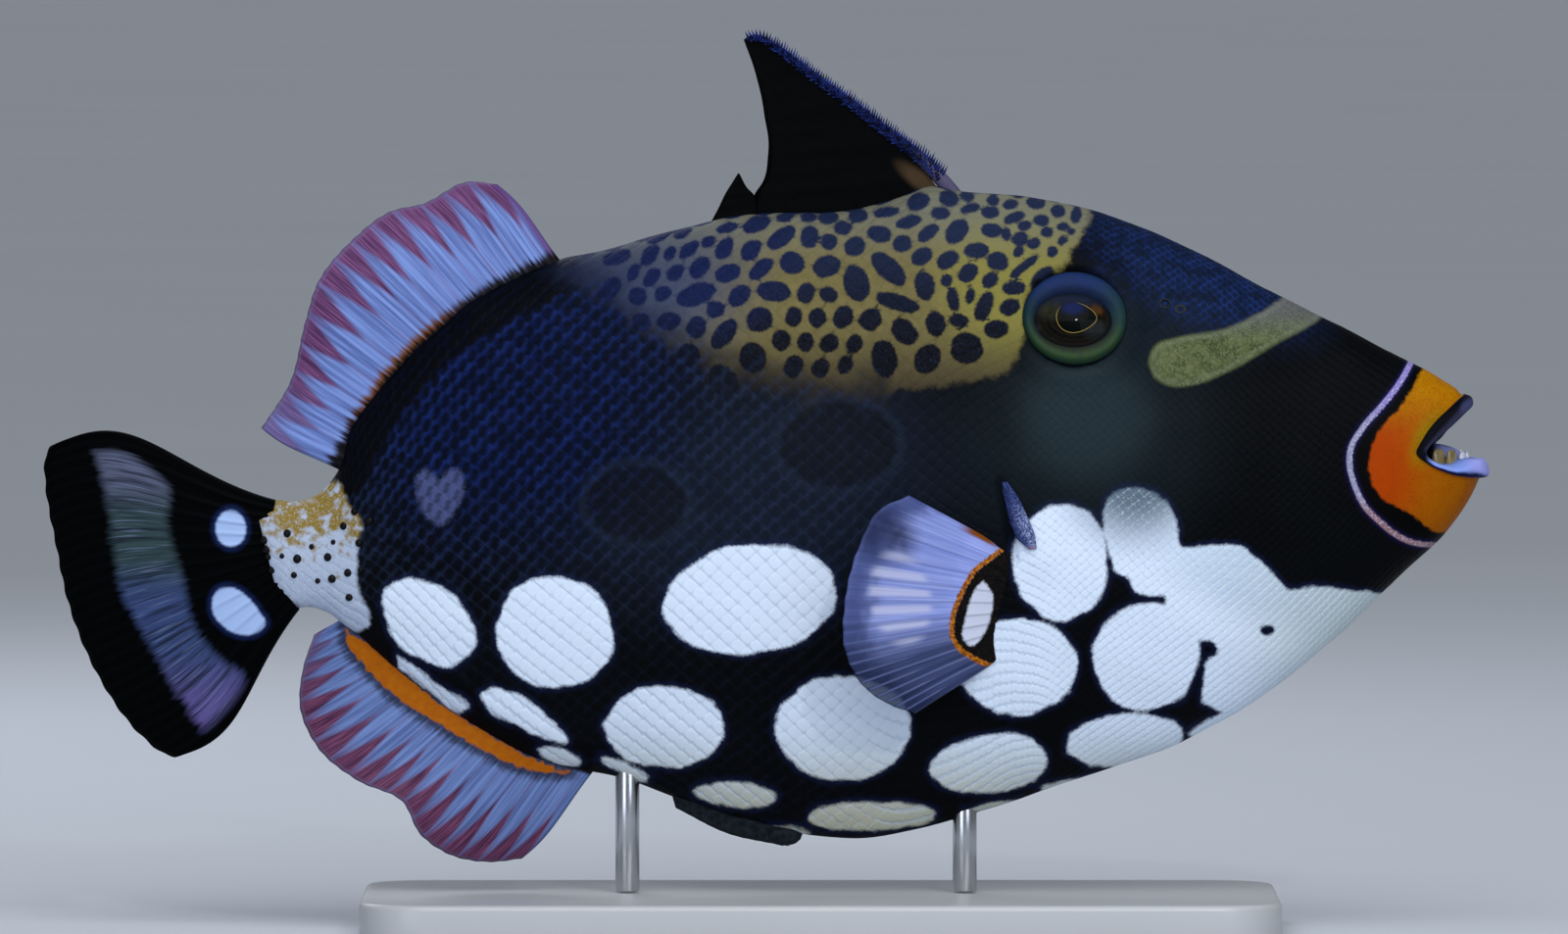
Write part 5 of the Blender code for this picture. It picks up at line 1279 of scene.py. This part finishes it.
# Anal web: a broad orange band along its foot, black above it and with a soft dark edge below.
anal_finish, fact, streak, colour = saw_fin(
    "anal_fin_web", 17.4, ("#4c5f92", "#6d84ba"), ("#40223f", "#70405f"), "#746a8c"
)
ripple = node("TexNoise", inputs={"Vector": place_in_mm(), "Scale": 0.7, "Detail": 2.0})
band = shaken(fact["orange_band"], ripple, 1.8)
halo = node("Math", streak, 2.4, node("Math", band, -1.2, operation="ADD"), operation="MULTIPLY_ADD")
colour = node("Mix", node("MapRange", halo, 2.6, 0.4, 0.0, 0.8), colour, "#15141c")
colour = node("Mix", node("MapRange", fact["root_mm"], 2.2, 1.2), colour, "#08080c")
orange = node("Mix", ripple, "#964802", "#b06604")
colour = node("Mix", node("MapRange", band, 0.2, -0.4), colour, orange)
finish_with(colour, node("Math", streak, 0.6, fact["ray"], operation="MULTIPLY_ADD"), 0.4)
anal = fin_blade(
    "anal_web", ANAL_ROOT, ANAL_MARGIN, 24, 34, web(1.2, 0.3, 0.2), wave(4.2, 1.25, 0.22), (0.9, 0.0),
    {"orange_band": lambda x, z: outline_distance(x, z, ANAL_BAND)},
)
anal.data.materials.append(anal_finish)
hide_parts("anal_fin")


# Tail fin: black skin over strong rays, with a dim middle band that shades from mauve through
# grey-green and slate blue to violet, and two white drops near its root.
CAUDAL_ROOT = ((-100.9, 89.6), (-102.2, 82.0), (-101.2, 74.0), (-96.0, 66.8))
CAUDAL_MARGIN = (
    (-149.8, 101.2), (-149.2, 91.0), (-147.2, 80.0), (-144.4, 67.0), (-138.6, 52.8), (-131.4, 42.0),
    (-122.8, 34.0),
)
TAIL_BAND = (
    (-139.2, 99.6), (-136.8, 90.6), (-135.2, 79.4), (-133.3, 69.3), (-127.6, 59.1), (-120.5, 46.9),
    (-115.9, 41.0), (-113.0, 43.9), (-107.6, 53.7), (-111.4, 56.1), (-117.5, 63.2), (-119.9, 73.3),
    (-123.2, 85.5), (-122.6, 91.0), (-128.6, 97.4), (-135.0, 99.8),
)
TAIL_DROP = (
    (-114.2, 68.9), (-113.0, 70.9), (-110.2, 71.5), (-106.9, 69.7), (-104.5, 66.8),
    (-103.0, 64.0), (-104.9, 62.0), (-108.5, 61.6), (-112.2, 63.6), (-114.0, 66.0),
)
tail_finish = new_finish("tail_fin_web", 0.5, 0.02)
fact = read_facts("ray", "edge_mm", "span", "pale_band", "drops")
height = node("SeparateXYZ", place_in_mm(), output=2)
stretch = fin_streaks(fact, 44.0)
streak = node("TexNoise", inputs={"Vector": stretch, "Scale": 1.5, "Detail": 4.0, "Roughness": 0.65})
fine = node("TexNoise", inputs={"Vector": stretch, "Scale": 3.4, "Detail": 2.0})
band_colour = node("Mix", node("MapRange", height, 44, 60), "#605692", "#3a4a76")
for where, tint in (
    (node("MapRange", height, 68, 78), "#34464a"),
    (node("MapRange", height, 86, 94), "#565c74"),
    (node("MapRange", streak, 0.56, 0.36, 0.0, 0.8), "#161c28"),
    (node("MapRange", fine, 0.54, 0.7, 0.0, 0.35), "#8090b4"),
):
    band_colour = node("Mix", where, band_colour, tint)
black = node("Mix", fact["ray"], "#010203", "#040507")
pale_band = shaken(fact["pale_band"], streak, 5.0)
colour = node("Mix", node("MapRange", pale_band, 1.0, -1.6), black, band_colour)
drops = shaken(fact["drops"], streak, 0.7)
colour = node("Mix", node("MapRange", drops, 1.6, 0.2, 0.0, 0.5), colour, "#1c2c60")
colour = node("Mix", node("MapRange", drops, 0.35, -0.45), colour, "#a3bce8")
finish_with(colour, node("Math", streak, 0.6, fact["ray"], operation="MULTIPLY_ADD"), 0.4, 0.00025)
caudal = fin_blade(
    "tail_web", CAUDAL_ROOT, CAUDAL_MARGIN, 14, 44, web(2.5, 0.34, 0.3),
    lambda along, out, x, z: 13.0 * out**1.6 + 0 * along, (-6.0, 4.0),
    {
        "pale_band": lambda x, z: outline_distance(x, z, TAIL_BAND),
        "drops": lambda x,
        z: np.minimum(outline_distance(x, z, TAIL_DROP), oval_distance(x, z, (-110.2, 83.7, 3.2, 3.9, 0))),
    },
    steps=12, ragged=0.006, corner=0.055,
)
caudal.data.materials.append(tail_finish)
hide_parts("caudal_fin")


# Pectoral fins: a black fleshy lobe with a white lens and an orange hem, and from it a fan of
# thirteen rays in violet-blue web, darker and clearer at its margin. Both stand off the flank.
PECTORAL_ROOT = ((51.4, 79.8), (50.4, 73.6), (48.8, 67.0), (47.8, 61.6), (48.4, 56.6))
PECTORAL_MARGIN = (
    (30.2, 91.8), (24.0, 89.0), (20.0, 82.0), (16.9, 70.0), (17.0, 60.0), (20.6, 52.8), (27.0, 48.2),
    (31.5, 46.6),
)
PECTORAL_HEM = (
    (50.0, 80.6), (47.2, 78.5), (43.9, 76.0), (41.5, 72.1), (39.8, 68.1), (39.0, 64.2), (39.4, 61.8),
    (40.6, 59.8),
    (43.1, 57.9), (46.3, 56.3), (50.0, 55.2),
)
PECTORAL_LENS = (
    (45.7, 73.8), (47.4, 71.3), (47.2, 66.2), (45.9, 62.8), (43.1, 60.1), (41.5, 61.6), (41.9, 66.2),
    (43.1, 70.3), (44.5, 72.9),
)
spread = math.tan(math.radians(38.0))
side_hide = hide[1:last_ring, 6:half_way - 6].reshape(-1, 3)


def flank_side(x, z):
    """Distance of the hide from the middle plane."""
    gap = (side_hide[:, 0] - x) ** 2 + (side_hide[:, 2] - z) ** 2
    return abs(side_hide[np.argmin(gap), 1])


pectoral_feet = smooth_curve(PECTORAL_ROOT, np.linspace(0, 1, 131))
pectoral_foot_side = np.array([flank_side(x, z) for x, z in pectoral_feet])


def pectoral_half(along, out, ray):
    flesh = np.clip(1 - (out / 0.34) ** 2, 0, 1)
    return 0.26 + 1.7 * flesh + 0.22 * (1 - 0.6 * out) * ray * np.clip((out - 0.3) / 0.1, 0, 1)


pectoral_finish = new_finish("pectoral_web", 0.5, 0.08)
fact = read_facts("ray", "root_mm", "edge_mm", "span", "hem", "lens")
place = place_in_mm()
streak = node(
    "TexNoise", inputs={"Vector": fin_streaks(fact, 50.0), "Scale": 1.4, "Detail": 3.0, "Roughness": 0.6}
)
cloud = node("TexNoise", inputs={"Vector": place, "Scale": 0.22, "Detail": 2.0})
grain = node("TexNoise", inputs={"Vector": place, "Scale": 1.8, "Detail": 3.0})
violet = node("Mix", node("MapRange", streak, 0.3, 0.7), "#7787cc", "#9eace8")
rear_shade = node(
    "Math", cloud, 7.0, node("Math", fact["edge_mm"], -3.5, operation="ADD"), operation="MULTIPLY_ADD"
)
violet = node("Mix", node("MapRange", rear_shade, 8.5, 2.0, 0.0, 0.85), violet, "#3d4a80")
violet = node("Mix", node("MapRange", fact["span"], 0.5, 0.78, 0.0, 0.9), violet, "#222c50")
# Painted shadow: a dark patch on the web near its upper edge.
painted_shadow_top = node(
    "Math", soft_zone(place, (25.0, 84.0), (10.0, 8.5), -50, 0.9), node("MapRange", cloud, 0.2, 0.7, 0.5, 1.0),
    operation="MULTIPLY",
)
violet = node("Mix", painted_shadow_top, violet, "#23294a")
beam = node("Math", node("Math", fact["span"], 13.0, operation="MULTIPLY"), 0.5, operation="PINGPONG")
beam = node("MapRange", node("Math", streak, 0.3, beam, operation="MULTIPLY_ADD"), 0.24, 0.6, 0.0, 0.8)
beam_zone = node("MapRange", soft_zone(place, (28.4, 70.5), (8.6, 13.5), 12), 0.1, 0.6)
violet = node("Mix", node("Math", beam, beam_zone, operation="MULTIPLY"), violet, "#c4c8e8")
low_rays = node(
    "Math", node("MapRange", fact["ray"], 0.5, 0.95), node("MapRange", fact["span"], 0.55, 0.75, 0.0, 0.35),
    operation="MULTIPLY",
)
violet = node("Mix", low_rays, violet, "#7f8cba")
lobe = node("Mix", node("MapRange", grain, 0.5, 0.7), "#060506", "#1c140e")
hem_line = shaken(fact["hem"], grain, 0.9)
colour = node("Mix", node("MapRange", hem_line, -0.1, -0.6), violet, lobe)
orange_hem = node("Mix", node("MapRange", grain, 0.35, 0.6), "#6e3806", "#b86e0c")
on_hem = node("Math", hem_line, operation="ABSOLUTE")
colour = node("Mix", node("MapRange", on_hem, 0.75, 0.25), colour, orange_hem)
fringe = node(
    "Math", node("MapRange", fact["span"], 0.05, 0.02), soft_zone(place, (45.0, 82.4), (6.0, 4.0), -38),
    operation="MULTIPLY",
)
colour = node("Mix", fringe, colour, "#7a4410")
colour = node("Mix", node("MapRange", shaken(fact["lens"], grain, 0.8), 0.3, -0.4), colour, "#c9cfe2")
ridges = node(
    "Math", node("Math", streak, 0.6, fact["ray"], operation="MULTIPLY_ADD"),
    node("MapRange", hem_line, -0.6, 0.2), operation="MULTIPLY",
)
finish_with(colour, ridges, 0.4)
clear = node(
    "Math", node("MapRange", fact["edge_mm"], 12.0, 1.0), node("MapRange", fact["span"], 0.35, 0.8),
    operation="MULTIPLY",
)
clear = node("Math", clear, node("MapRange", fact["ray"], 0.9, 0.3), operation="MULTIPLY")
tree.links.new(node("Math", clear, -0.4, 1.0, operation="MULTIPLY_ADD"), shader.inputs["Alpha"])

PECTORAL_SINK = 1.8


def off_flank(along, out, x, z):
    """Sideways place of the fan, which leaves the flank at the angle of its spread."""
    return hand * (pectoral_foot_side - PECTORAL_SINK + spread * (pectoral_feet[:, 0] - x) * (0.75 + 0.25 * out))


for side_name, hand in (("right", -1), ("left", 1)):
    pectoral = fin_blade(
        f"pectoral_{side_name}_web", PECTORAL_ROOT, PECTORAL_MARGIN, 13, 34, pectoral_half, off_flank, (0.0, 0.0),
        {
            "hem": lambda x, z: ahead_of(x, z, PECTORAL_HEM),
            "lens": lambda x, z: outline_distance(x, z, PECTORAL_LENS),
        },
        steps=10,
    )
    pectoral.data.materials.append(pectoral_finish)
    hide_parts(f"pectoral_fin_{side_name}")


# Spiny dorsal fin: a stout locking spine rough with bristles along its front, a black web of
# skin behind it, and a low rear spine in a web of its own.
FIRST_SPINE = (
    (43.8, 146.0), (40.4, 152.0), (33.7, 159.4), (25.7, 165.6), (17.8, 171.8), (9.8, 177.7), (2.9, 183.0),
    (-0.6, 185.2), (-3.8, 185.0),
)
SAIL_FRONT = (
    (41.6, 146.0), (32.8, 158.6), (25.0, 164.8), (17.2, 171.4), (9.7, 177.6), (2.9, 183.0), (-0.8, 185.0),
    (-3.5, 185.1),
)
SAIL_REAR = ((-3.0, 145.0), (-1.7, 152.8), (0.0, 155.6), (1.2, 161.6), (0.4, 169.4), (-1.6, 178.6), (-3.9, 185.1))
REAR_SPINE_FRONT = ((-2.4, 144.0), (-1.3, 150.6), (-1.6, 152.6), (-3.2, 154.4), (-4.7, 157.2))
REAR_SPINE_BACK = ((-12.8, 143.0), (-9.0, 150.4), (-7.4, 153.6), (-6.0, 155.8), (-5.0, 157.4))
sail_finish = new_finish("black_web", 0.6, 0.03)
place = place_in_mm()
folds = node("TexNoise", inputs={"Vector": place, "Scale": 0.5, "Detail": 4.0})
colour = node("Mix", folds, "#010202", "#040506")
flesh = node("Math", soft_zone(place, (33.0, 155.6), (8.5, 2.6), -38), 0.5, operation="MULTIPLY")
finish_with(node("Mix", flesh, colour, "#5c4a34"), folds, 0.3, 0.0003)
upright = lambda along, out, x, z: 0 * x
for name, node_name, front, back, rays, rows in (
    ("dorsal_sail", "spiny_dorsal_fin", SAIL_FRONT, SAIL_REAR, 5, 24),
    ("rear_spine_web", "rear_dorsal_spine", REAR_SPINE_FRONT, REAR_SPINE_BACK, 3, 14),
):
    sail = fin_blade(name, front, back, rays, rows, web(0.8, 0.35, 0.16), upright, (0.0, 0.0), steps=14)
    sail.data.materials.append(sail_finish)
    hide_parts(node_name)

# First spine: rough bone, blue-black, paler and thin-skinned at its foot.
spine_finish = new_finish("rough_spine_bone", 0.6, 0.08)
place = place_in_mm()
forward = node("SeparateXYZ", place)
grain = node("TexNoise", inputs={"Vector": place, "Scale": 1.6, "Detail": 3.0})
colour = node("Mix", grain, "#04050c", "#0a0e24")
colour = node("Mix", node("MapRange", forward, 30, 37, 0.0, 0.7), colour, "#5e5a78")
finish_with(colour, grain)
bristle_finish = new_finish("bristle_horn", 0.5, 0.1)
grain = node("TexNoise", inputs={"Vector": place_in_mm(), "Scale": 0.9, "Detail": 3.0})
finish_with(node("Mix", node("MapRange", grain, 0.35, 0.65), "#0a0f2c", "#2a3a86"))
SPINE_STEPS = 121
SPINE_FOOT_RADIUS = 1.7
SPINE_TIP_RADIUS = 0.75
spine_line = smooth_curve(FIRST_SPINE, np.linspace(0, 1, SPINE_STEPS))
spine_ahead = np.gradient(spine_line, axis=0)
spine_ahead /= np.linalg.norm(spine_ahead, axis=1, keepdims=True)
spine_front = np.column_stack((spine_ahead[:, 1], -spine_ahead[:, 0]))
thick = np.linspace(SPINE_FOOT_RADIUS, SPINE_TIP_RADIUS, SPINE_STEPS)
thick[-4:] *= (0.9, 0.75, 0.5, 0.05)
turns = np.linspace(0, 2 * np.pi, 33)
spine_points = np.stack(
    (
        spine_line[:, 0, None] + spine_front[:, 0, None] * thick[:, None] * np.cos(turns),
        0.8 * thick[:, None] * np.sin(turns),
        spine_line[:, 1, None] + spine_front[:, 1, None] * thick[:, None] * np.cos(turns),
    ),
    axis=-1,
)


def with_ends(points):
    """A rolled grid closed at both ends by a point in their middle."""
    ends = [np.broadcast_to(points[end].mean(axis=0), points[:1].shape) for end in (0, -1)]
    return np.concatenate((ends[0], points, ends[1]))


spine = rolled_grid("first_spine", with_ends(spine_points))
spine.data.materials.append(spine_finish)
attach(spine, "root")

# Bristles: short stiff points in cross rows round the spine's front and sides, leaning to its tip.
BRISTLE_ROWS = 84
BRISTLE_SIDES = 5
BRISTLE_RADIUS = 0.3
bristle_points, bristle_faces = [], []
spine_steps = np.arange(SPINE_STEPS)
for row in range(BRISTLE_ROWS):
    share = 0.2 + 0.785 * row / (BRISTLE_ROWS - 1)
    index = share * (SPINE_STEPS - 1)
    centre, ahead, front = (
        np.array([np.interp(index, spine_steps, values[:, 0]), 0, np.interp(index, spine_steps, values[:, 1])])
        for values in (spine_line, spine_ahead, spine_front)
    )
    radius = np.interp(index, spine_steps, thick)
    for turn in np.linspace(-2.0, 2.0, 9) + random.uniform(-0.15, 0.15, 9) + (0.2 if row % 2 else 0.0):
        outward = front * math.cos(turn) + np.array((0, 0.85 * math.sin(turn), 0))
        outward /= np.linalg.norm(outward)
        foot = centre + outward * (radius * 0.8)
        lean = outward + 0.4 * ahead
        lean /= np.linalg.norm(lean)
        reach = random.uniform(1.0, 1.9) * (0.75 if share > 0.9 else 1.0) * (1 - 0.2 * abs(turn))
        side_axis = np.cross(lean, (0.3, 0.1, 0.9))
        side_axis /= np.linalg.norm(side_axis)
        third = np.cross(lean, side_axis)
        first = len(bristle_points)
        for corner in range(BRISTLE_SIDES):
            angle = 2 * math.pi * corner / BRISTLE_SIDES
            around_foot = side_axis * math.cos(angle) + third * math.sin(angle)
            bristle_points.append(foot + around_foot * BRISTLE_RADIUS)
            next_corner = (corner + 1) % BRISTLE_SIDES
            bristle_faces.append((first + corner, first + next_corner, first + BRISTLE_SIDES))
        bristle_points.append(foot + lean * (reach + 0.3))
        bristle_faces += [(first, first + corner + 1, first + corner) for corner in range(1, BRISTLE_SIDES - 1)]
mesh = bpy.data.meshes.new("spine_bristles")
mesh.from_pydata((np.array(bristle_points) * MM).tolist(), [], bristle_faces)
bristles = bpy.data.objects.new("spine_bristles", mesh)
bpy.context.scene.collection.objects.link(bristles)
outward_faces(bristles)
bristles.data.materials.append(bristle_finish)
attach(bristles, "root")


# Rudiment of the pelvic fins: a rough bony knob at the end of the pelvis, and behind it a low
# keel of scaly skin on fine spines.
keel = fin_blade(
    "pelvic_keel", ((6.0, 25.0), (-6.0, 27.5), (-20.0, 32.5)), ((3.4, 17.9), (-7.0, 20.2), (-18.0, 25.6)),
    9, 16, web(1.8, 0.45, 0.35), upright, (0.0, 0.0),
)
keel_finish = new_finish("keel_skin", 0.55, 0.08)
scurf = node("TexVoronoi", inputs={"Vector": place_in_mm(), "Scale": 0.7})
finish_with(node("Mix", scurf, "#06090e", "#1c242c"), scurf, 0.6, 0.0004)
keel.data.materials.append(keel_finish)
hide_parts("pelvic_spine")
bpy.ops.object.select_all(action="DESELECT")
bpy.ops.mesh.primitive_uv_sphere_add(segments=28, ring_count=16, radius=1)
knob = bpy.context.object
knob.name = knob.data.name = "pelvic_knob"
shape = mesh_points(knob) * (3.6, 1.9, 2.2)
shape += random.normal(0, 0.06, shape.shape)
knob.data.vertices.foreach_set("co", ((shape + (4.6, 0, 20.0)) * MM).ravel())
bpy.ops.object.shade_smooth()
knob.data.materials.append(keel_finish)
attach(knob, "root")


# Spinelets of the tail stalk: short black thorns in uneven rows on each side, which stand out
# of the pale skin and point forward.
SPINELETS = (
    (-104.6, 80.9), (-102.9, 79.2), (-105.1, 77.3), (-101.6, 75.2), (-99.7, 78.1), (-98.5, 82.6),
    (-96.0, 77.7), (-97.0, 74.0), (-93.2, 80.0), (-89.0, 81.1), (-86.7, 84.2), (-84.1, 87.5),
    (-81.2, 85.3), (-83.4, 80.9), (-90.2, 77.8), (-92.1, 73.1), (-88.8, 73.5), (-86.0, 74.8),
    (-83.0, 75.0), (-85.4, 69.7),
)
thorn_finish = new_finish("black_thorn", 0.45, 0.15)
finish_with(
    node(
        "Mix", node("TexNoise", inputs={"Vector": place_in_mm(), "Scale": 1.5, "Detail": 2.0}), "#020203",
        "#0a0a0c",
    )
)
bpy.ops.object.select_all(action="DESELECT")
bpy.ops.mesh.primitive_uv_sphere_add(segments=12, ring_count=8, radius=1)
first_thorn = bpy.context.object
thorn_shape = mesh_points(first_thorn)
thorn_shape[:, :2] *= 1 - 0.45 * np.clip(thorn_shape[:, 2:], 0, 1)
thorns = [first_thorn]
for hand in (-1, 1):
    for x, z in SPINELETS:
        spot, outward = nearest_on_hide(x, z, hand)
        thorn = first_thorn
        if (hand, x, z) != (-1, *SPINELETS[0]):
            thorn = first_thorn.copy()
            thorn.data = first_thorn.data.copy()
            bpy.context.scene.collection.objects.link(thorn)
            thorns.append(thorn)
        turn = np.array((Vector(outward) + Vector((0.45, 0, 0))).to_track_quat("Z", "Y").to_matrix())
        size = random.uniform(0.55, 1.0)
        shape = (thorn_shape * (size, size, 0.8 * size)) @ turn.T + spot
        thorn.data.vertices.foreach_set("co", (shape * MM).ravel())
bpy.ops.object.select_all(action="DESELECT")
for thorn in thorns:
    thorn.select_set(True)
bpy.context.view_layer.objects.active = first_thorn
bpy.ops.object.join()
thorn_rows = bpy.context.object
thorn_rows.name = thorn_rows.data.name = "stalk_spinelets"
bpy.ops.object.shade_smooth()
thorn_rows.data.materials.append(thorn_finish)
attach(thorn_rows, "root")


# Gill flaps: the soft free edge of each gill cover above the pectoral's foot, a pale blue
# leaf with dark specks, over the short dark slit.
FLAP_REAR = ((49.4, 94.0), (50.0, 90.0), (50.6, 87.0), (52.4, 82.6), (55.0, 80.2))
FLAP_FRONT = ((50.6, 94.2), (53.0, 90.6), (54.6, 87.2), (56.3, 82.8), (56.6, 80.2))
flap_finish = new_finish("gill_membrane", 0.5, 0.08)
fact = read_facts("across", "down")
specks = node("TexNoise", inputs={"Vector": place_in_mm(), "Scale": 2.4, "Detail": 3.0})
pale = node("Mix", node("MapRange", specks, 0.4, 0.62), "#36426c", "#8a96c2")
dark = node("Mix", node("MapRange", specks, 0.4, 0.64), "#222c54", "#38477e")
light = node(
    "Math", node("MapRange", fact["across"], 0.1, 0.7), node("MapRange", fact["down"], 0.25, 0.65),
    operation="MULTIPLY",
)
colour = node("Mix", light, dark, pale)
colour = node("Mix", node("MapRange", fact["down"], 0.88, 0.97, 0.0, 0.6), colour, "#a88ca8")
finish_with(colour, specks, 0.2)
FLAP_ROWS = 28
FLAP_STEPS = 12
across = np.concatenate((np.linspace(0, 1, FLAP_STEPS), np.linspace(1, 0, FLAP_STEPS)[1:]))
face = np.concatenate((np.ones(FLAP_STEPS), -np.ones(FLAP_STEPS - 1)))
bulge = np.sqrt(np.clip(np.sin(np.pi * across), 0, 1))
rear_line = smooth_curve(FLAP_REAR, np.linspace(0, 1, FLAP_ROWS))
front_line = smooth_curve(FLAP_FRONT, np.linspace(0, 1, FLAP_ROWS))
for side_name, hand in (("right", -1), ("left", 1)):
    flap = np.empty((FLAP_ROWS, len(across), 3))
    for row in range(FLAP_ROWS):
        taper = math.sin(math.pi * min(1.0, (row + 0.6) / 27.6)) ** 0.4
        for number, share in enumerate(across):
            x, z = rear_line[row] + (front_line[row] - rear_line[row]) * share
            lift = 0.55 + 0.35 * (1 - share) + face[number] * 0.38 * bulge[number] * taper
            flap[row, number] = (x, hand * (flank_side(x, z) + lift), z)
    size = (FLAP_ROWS + 2, len(across))
    down = np.linspace(0, 1, FLAP_ROWS + 2)[:, None]
    flap_facts = {"across": np.broadcast_to(across, size), "down": np.broadcast_to(down, size)}
    piece = rolled_grid(f"gill_flap_{side_name}", with_ends(flap), flap_facts)
    piece.data.materials.append(flap_finish)
    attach(piece, "root")


# Display stand: a board of fibreboard with rounded corners and a small round-over, sprayed satin
# white-grey, and two polished steel rods pressed into it and into the belly.
BOARD_CORNER = 0.014
BOARD_ROUND_OVER = 0.0012
ROD_RADIUS = 0.0025
low, high = (Vector(corner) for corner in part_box("stand_base"))
bpy.ops.object.select_all(action="DESELECT")
bpy.ops.mesh.primitive_cube_add(size=1, location=(low + high) / 2, scale=high - low)
board = bpy.context.object
board.name = board.data.name = "stand_board"
bpy.ops.object.transform_apply(location=True, rotation=False, scale=True)
bpy.ops.object.mode_set(mode="EDIT")
bpy.ops.mesh.select_mode(type="EDGE")
bpy.ops.mesh.select_all(action="DESELECT")
bpy.ops.object.mode_set(mode="OBJECT")
for edge in board.data.edges:
    ends = [board.data.vertices[index].co for index in edge.vertices]
    edge.select = abs(ends[0].z - ends[1].z) > 0.004
bpy.ops.object.mode_set(mode="EDIT")
bpy.ops.mesh.bevel(offset=BOARD_CORNER, segments=14, profile=0.5)
bpy.ops.mesh.select_mode(type="VERT")
bpy.ops.object.mode_set(mode="OBJECT")
round_over = board.modifiers.new("round_over", "BEVEL")
round_over.width = BOARD_ROUND_OVER
round_over.segments = 4
round_over.limit_method = "ANGLE"
round_over.angle_limit = math.radians(60)
bpy.ops.object.modifier_apply(modifier="round_over")
bpy.ops.object.shade_smooth_by_angle(angle=math.radians(35))
# Orange-peel of sprayed lacquer, about 0.8 mm across, and a faint uneven tone.
board_finish = new_finish("satin_lacquer", 0.38, 0.45, Coat_Weight=0.2, Coat_Roughness=0.25)
place = place_in_mm()
peel = node("TexNoise", inputs={"Vector": place, "Scale": 1.2, "Detail": 2.0})
tone = node("TexNoise", inputs={"Vector": place, "Scale": 0.014, "Detail": 3.0})
finish_with(node("Mix", tone, "#aeb2b6", "#b9bcbf"), peel, 0.12, 0.0001)
tree.links.new(node("Math", peel, 0.12, 0.32, operation="MULTIPLY_ADD"), shader.inputs["Roughness"])
board.data.materials.append(board_finish)
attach(board, "root")
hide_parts("stand_base")

steel_finish = new_finish("polished_steel_rod", 0.2, 0.5, Metallic=1.0, Anisotropic=0.4)
drawn = node("Mapping", place_in_mm(), inputs={"Scale": (2.5, 2.5, 0.03)})
scratch = node("TexNoise", inputs={"Vector": drawn, "Scale": 1.0, "Detail": 3.0})
finish_with(node("Mix", scratch, "#a9acb0", "#c9ccce"))
tree.links.new(node("Math", scratch, 0.16, 0.14, operation="MULTIPLY_ADD"), shader.inputs["Roughness"])
for name in ("front", "rear"):
    low, high = (Vector(corner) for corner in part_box(f"stand_rod_{name}"))
    bpy.ops.object.select_all(action="DESELECT")
    bpy.ops.mesh.primitive_cylinder_add(vertices=64, radius=ROD_RADIUS, depth=high.z - low.z)
    rod = bpy.context.object
    rod.name = rod.data.name = f"rod_{name}"
    bpy.ops.object.mode_set(mode="EDIT")
    bpy.ops.mesh.select_all(action="SELECT")
    bpy.ops.transform.translate(value=(low + high) / 2)
    bpy.ops.object.mode_set(mode="OBJECT")
    edge_break = rod.modifiers.new("edge_break", "BEVEL")
    edge_break.width = 0.0003
    edge_break.segments = 2
    edge_break.limit_method = "ANGLE"
    bpy.ops.object.modifier_apply(modifier="edge_break")
    bpy.ops.object.shade_smooth_by_angle(angle=math.radians(35))
    rod.data.materials.append(steel_finish)
    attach(rod, "root")
    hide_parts(f"stand_rod_{name}")


# Room: a pale matt floor that reaches far past the picture, an even light from high in front, a
# broad soft lamp above the fish, weaker ones from the front and behind, and one that glints in the eye.
bpy.ops.object.select_all(action="DESELECT")
bpy.ops.mesh.primitive_plane_add(size=80)
floor = bpy.context.object
floor.name = floor.data.name = "floor"
floor_finish = new_finish("matt_paper", 0.9, 0.1)
finish_with(node("Mix", node("TexNoise", inputs={"Vector": place_in_mm(), "Scale": 0.003}), "#bfc5cd", "#c5cad1"))
floor.data.materials.append(floor_finish)

world = bpy.data.worlds.new("room")
bpy.context.scene.world = world
world.use_nodes = True
world.node_tree.nodes["Background"].inputs["Color"].default_value = paint("#dfe6f0")
world.node_tree.nodes["Background"].inputs["Strength"].default_value = 0.23
sky_data = bpy.data.lights.new("sky", "SUN")
sky_data.energy = 1.0
sky_data.angle = math.radians(60)
sky = bpy.data.objects.new("sky", sky_data)
bpy.context.scene.collection.objects.link(sky)
sky.rotation_euler = Vector((-0.1, 1.0, -1.25)).to_track_quat("-Z", "Y").to_euler()
LAMPS = (
    ("key", (0.1, -1.1, 1.15), (0.0, 0.0, 0.09), 1.2, 7.9, "#ffffff"),
    ("front_right", (1.3, -2.3, 0.7), (0.0, 0.0, 0.08), 1.0, 9.0, "#e6edff"),
    ("front_left", (-1.3, -2.3, 0.3), (0.0, 0.0, 0.07), 1.0, 10.8, "#e6edff"),
    ("back", (-0.5, 0.9, 0.9), (0.0, 0.0, 0.12), 0.8, 6.0, "#eef3ff"),
    ("glint", (0.34, -1.1, 0.62), (0.06, 0.0, 0.12), 0.035, 2.0, "#ffffff"),
)
for name, spot, target, width, power, tint in LAMPS:
    lamp_data = bpy.data.lights.new(name, "AREA")
    lamp_data.size = width
    lamp_data.energy = power
    lamp_data.color = paint(tint)[:3]
    lamp = bpy.data.objects.new(name, lamp_data)
    bpy.context.scene.collection.objects.link(lamp)
    lamp.location = spot
    lamp.rotation_euler = (Vector(target) - Vector(spot)).to_track_quat("-Z", "Y").to_euler()
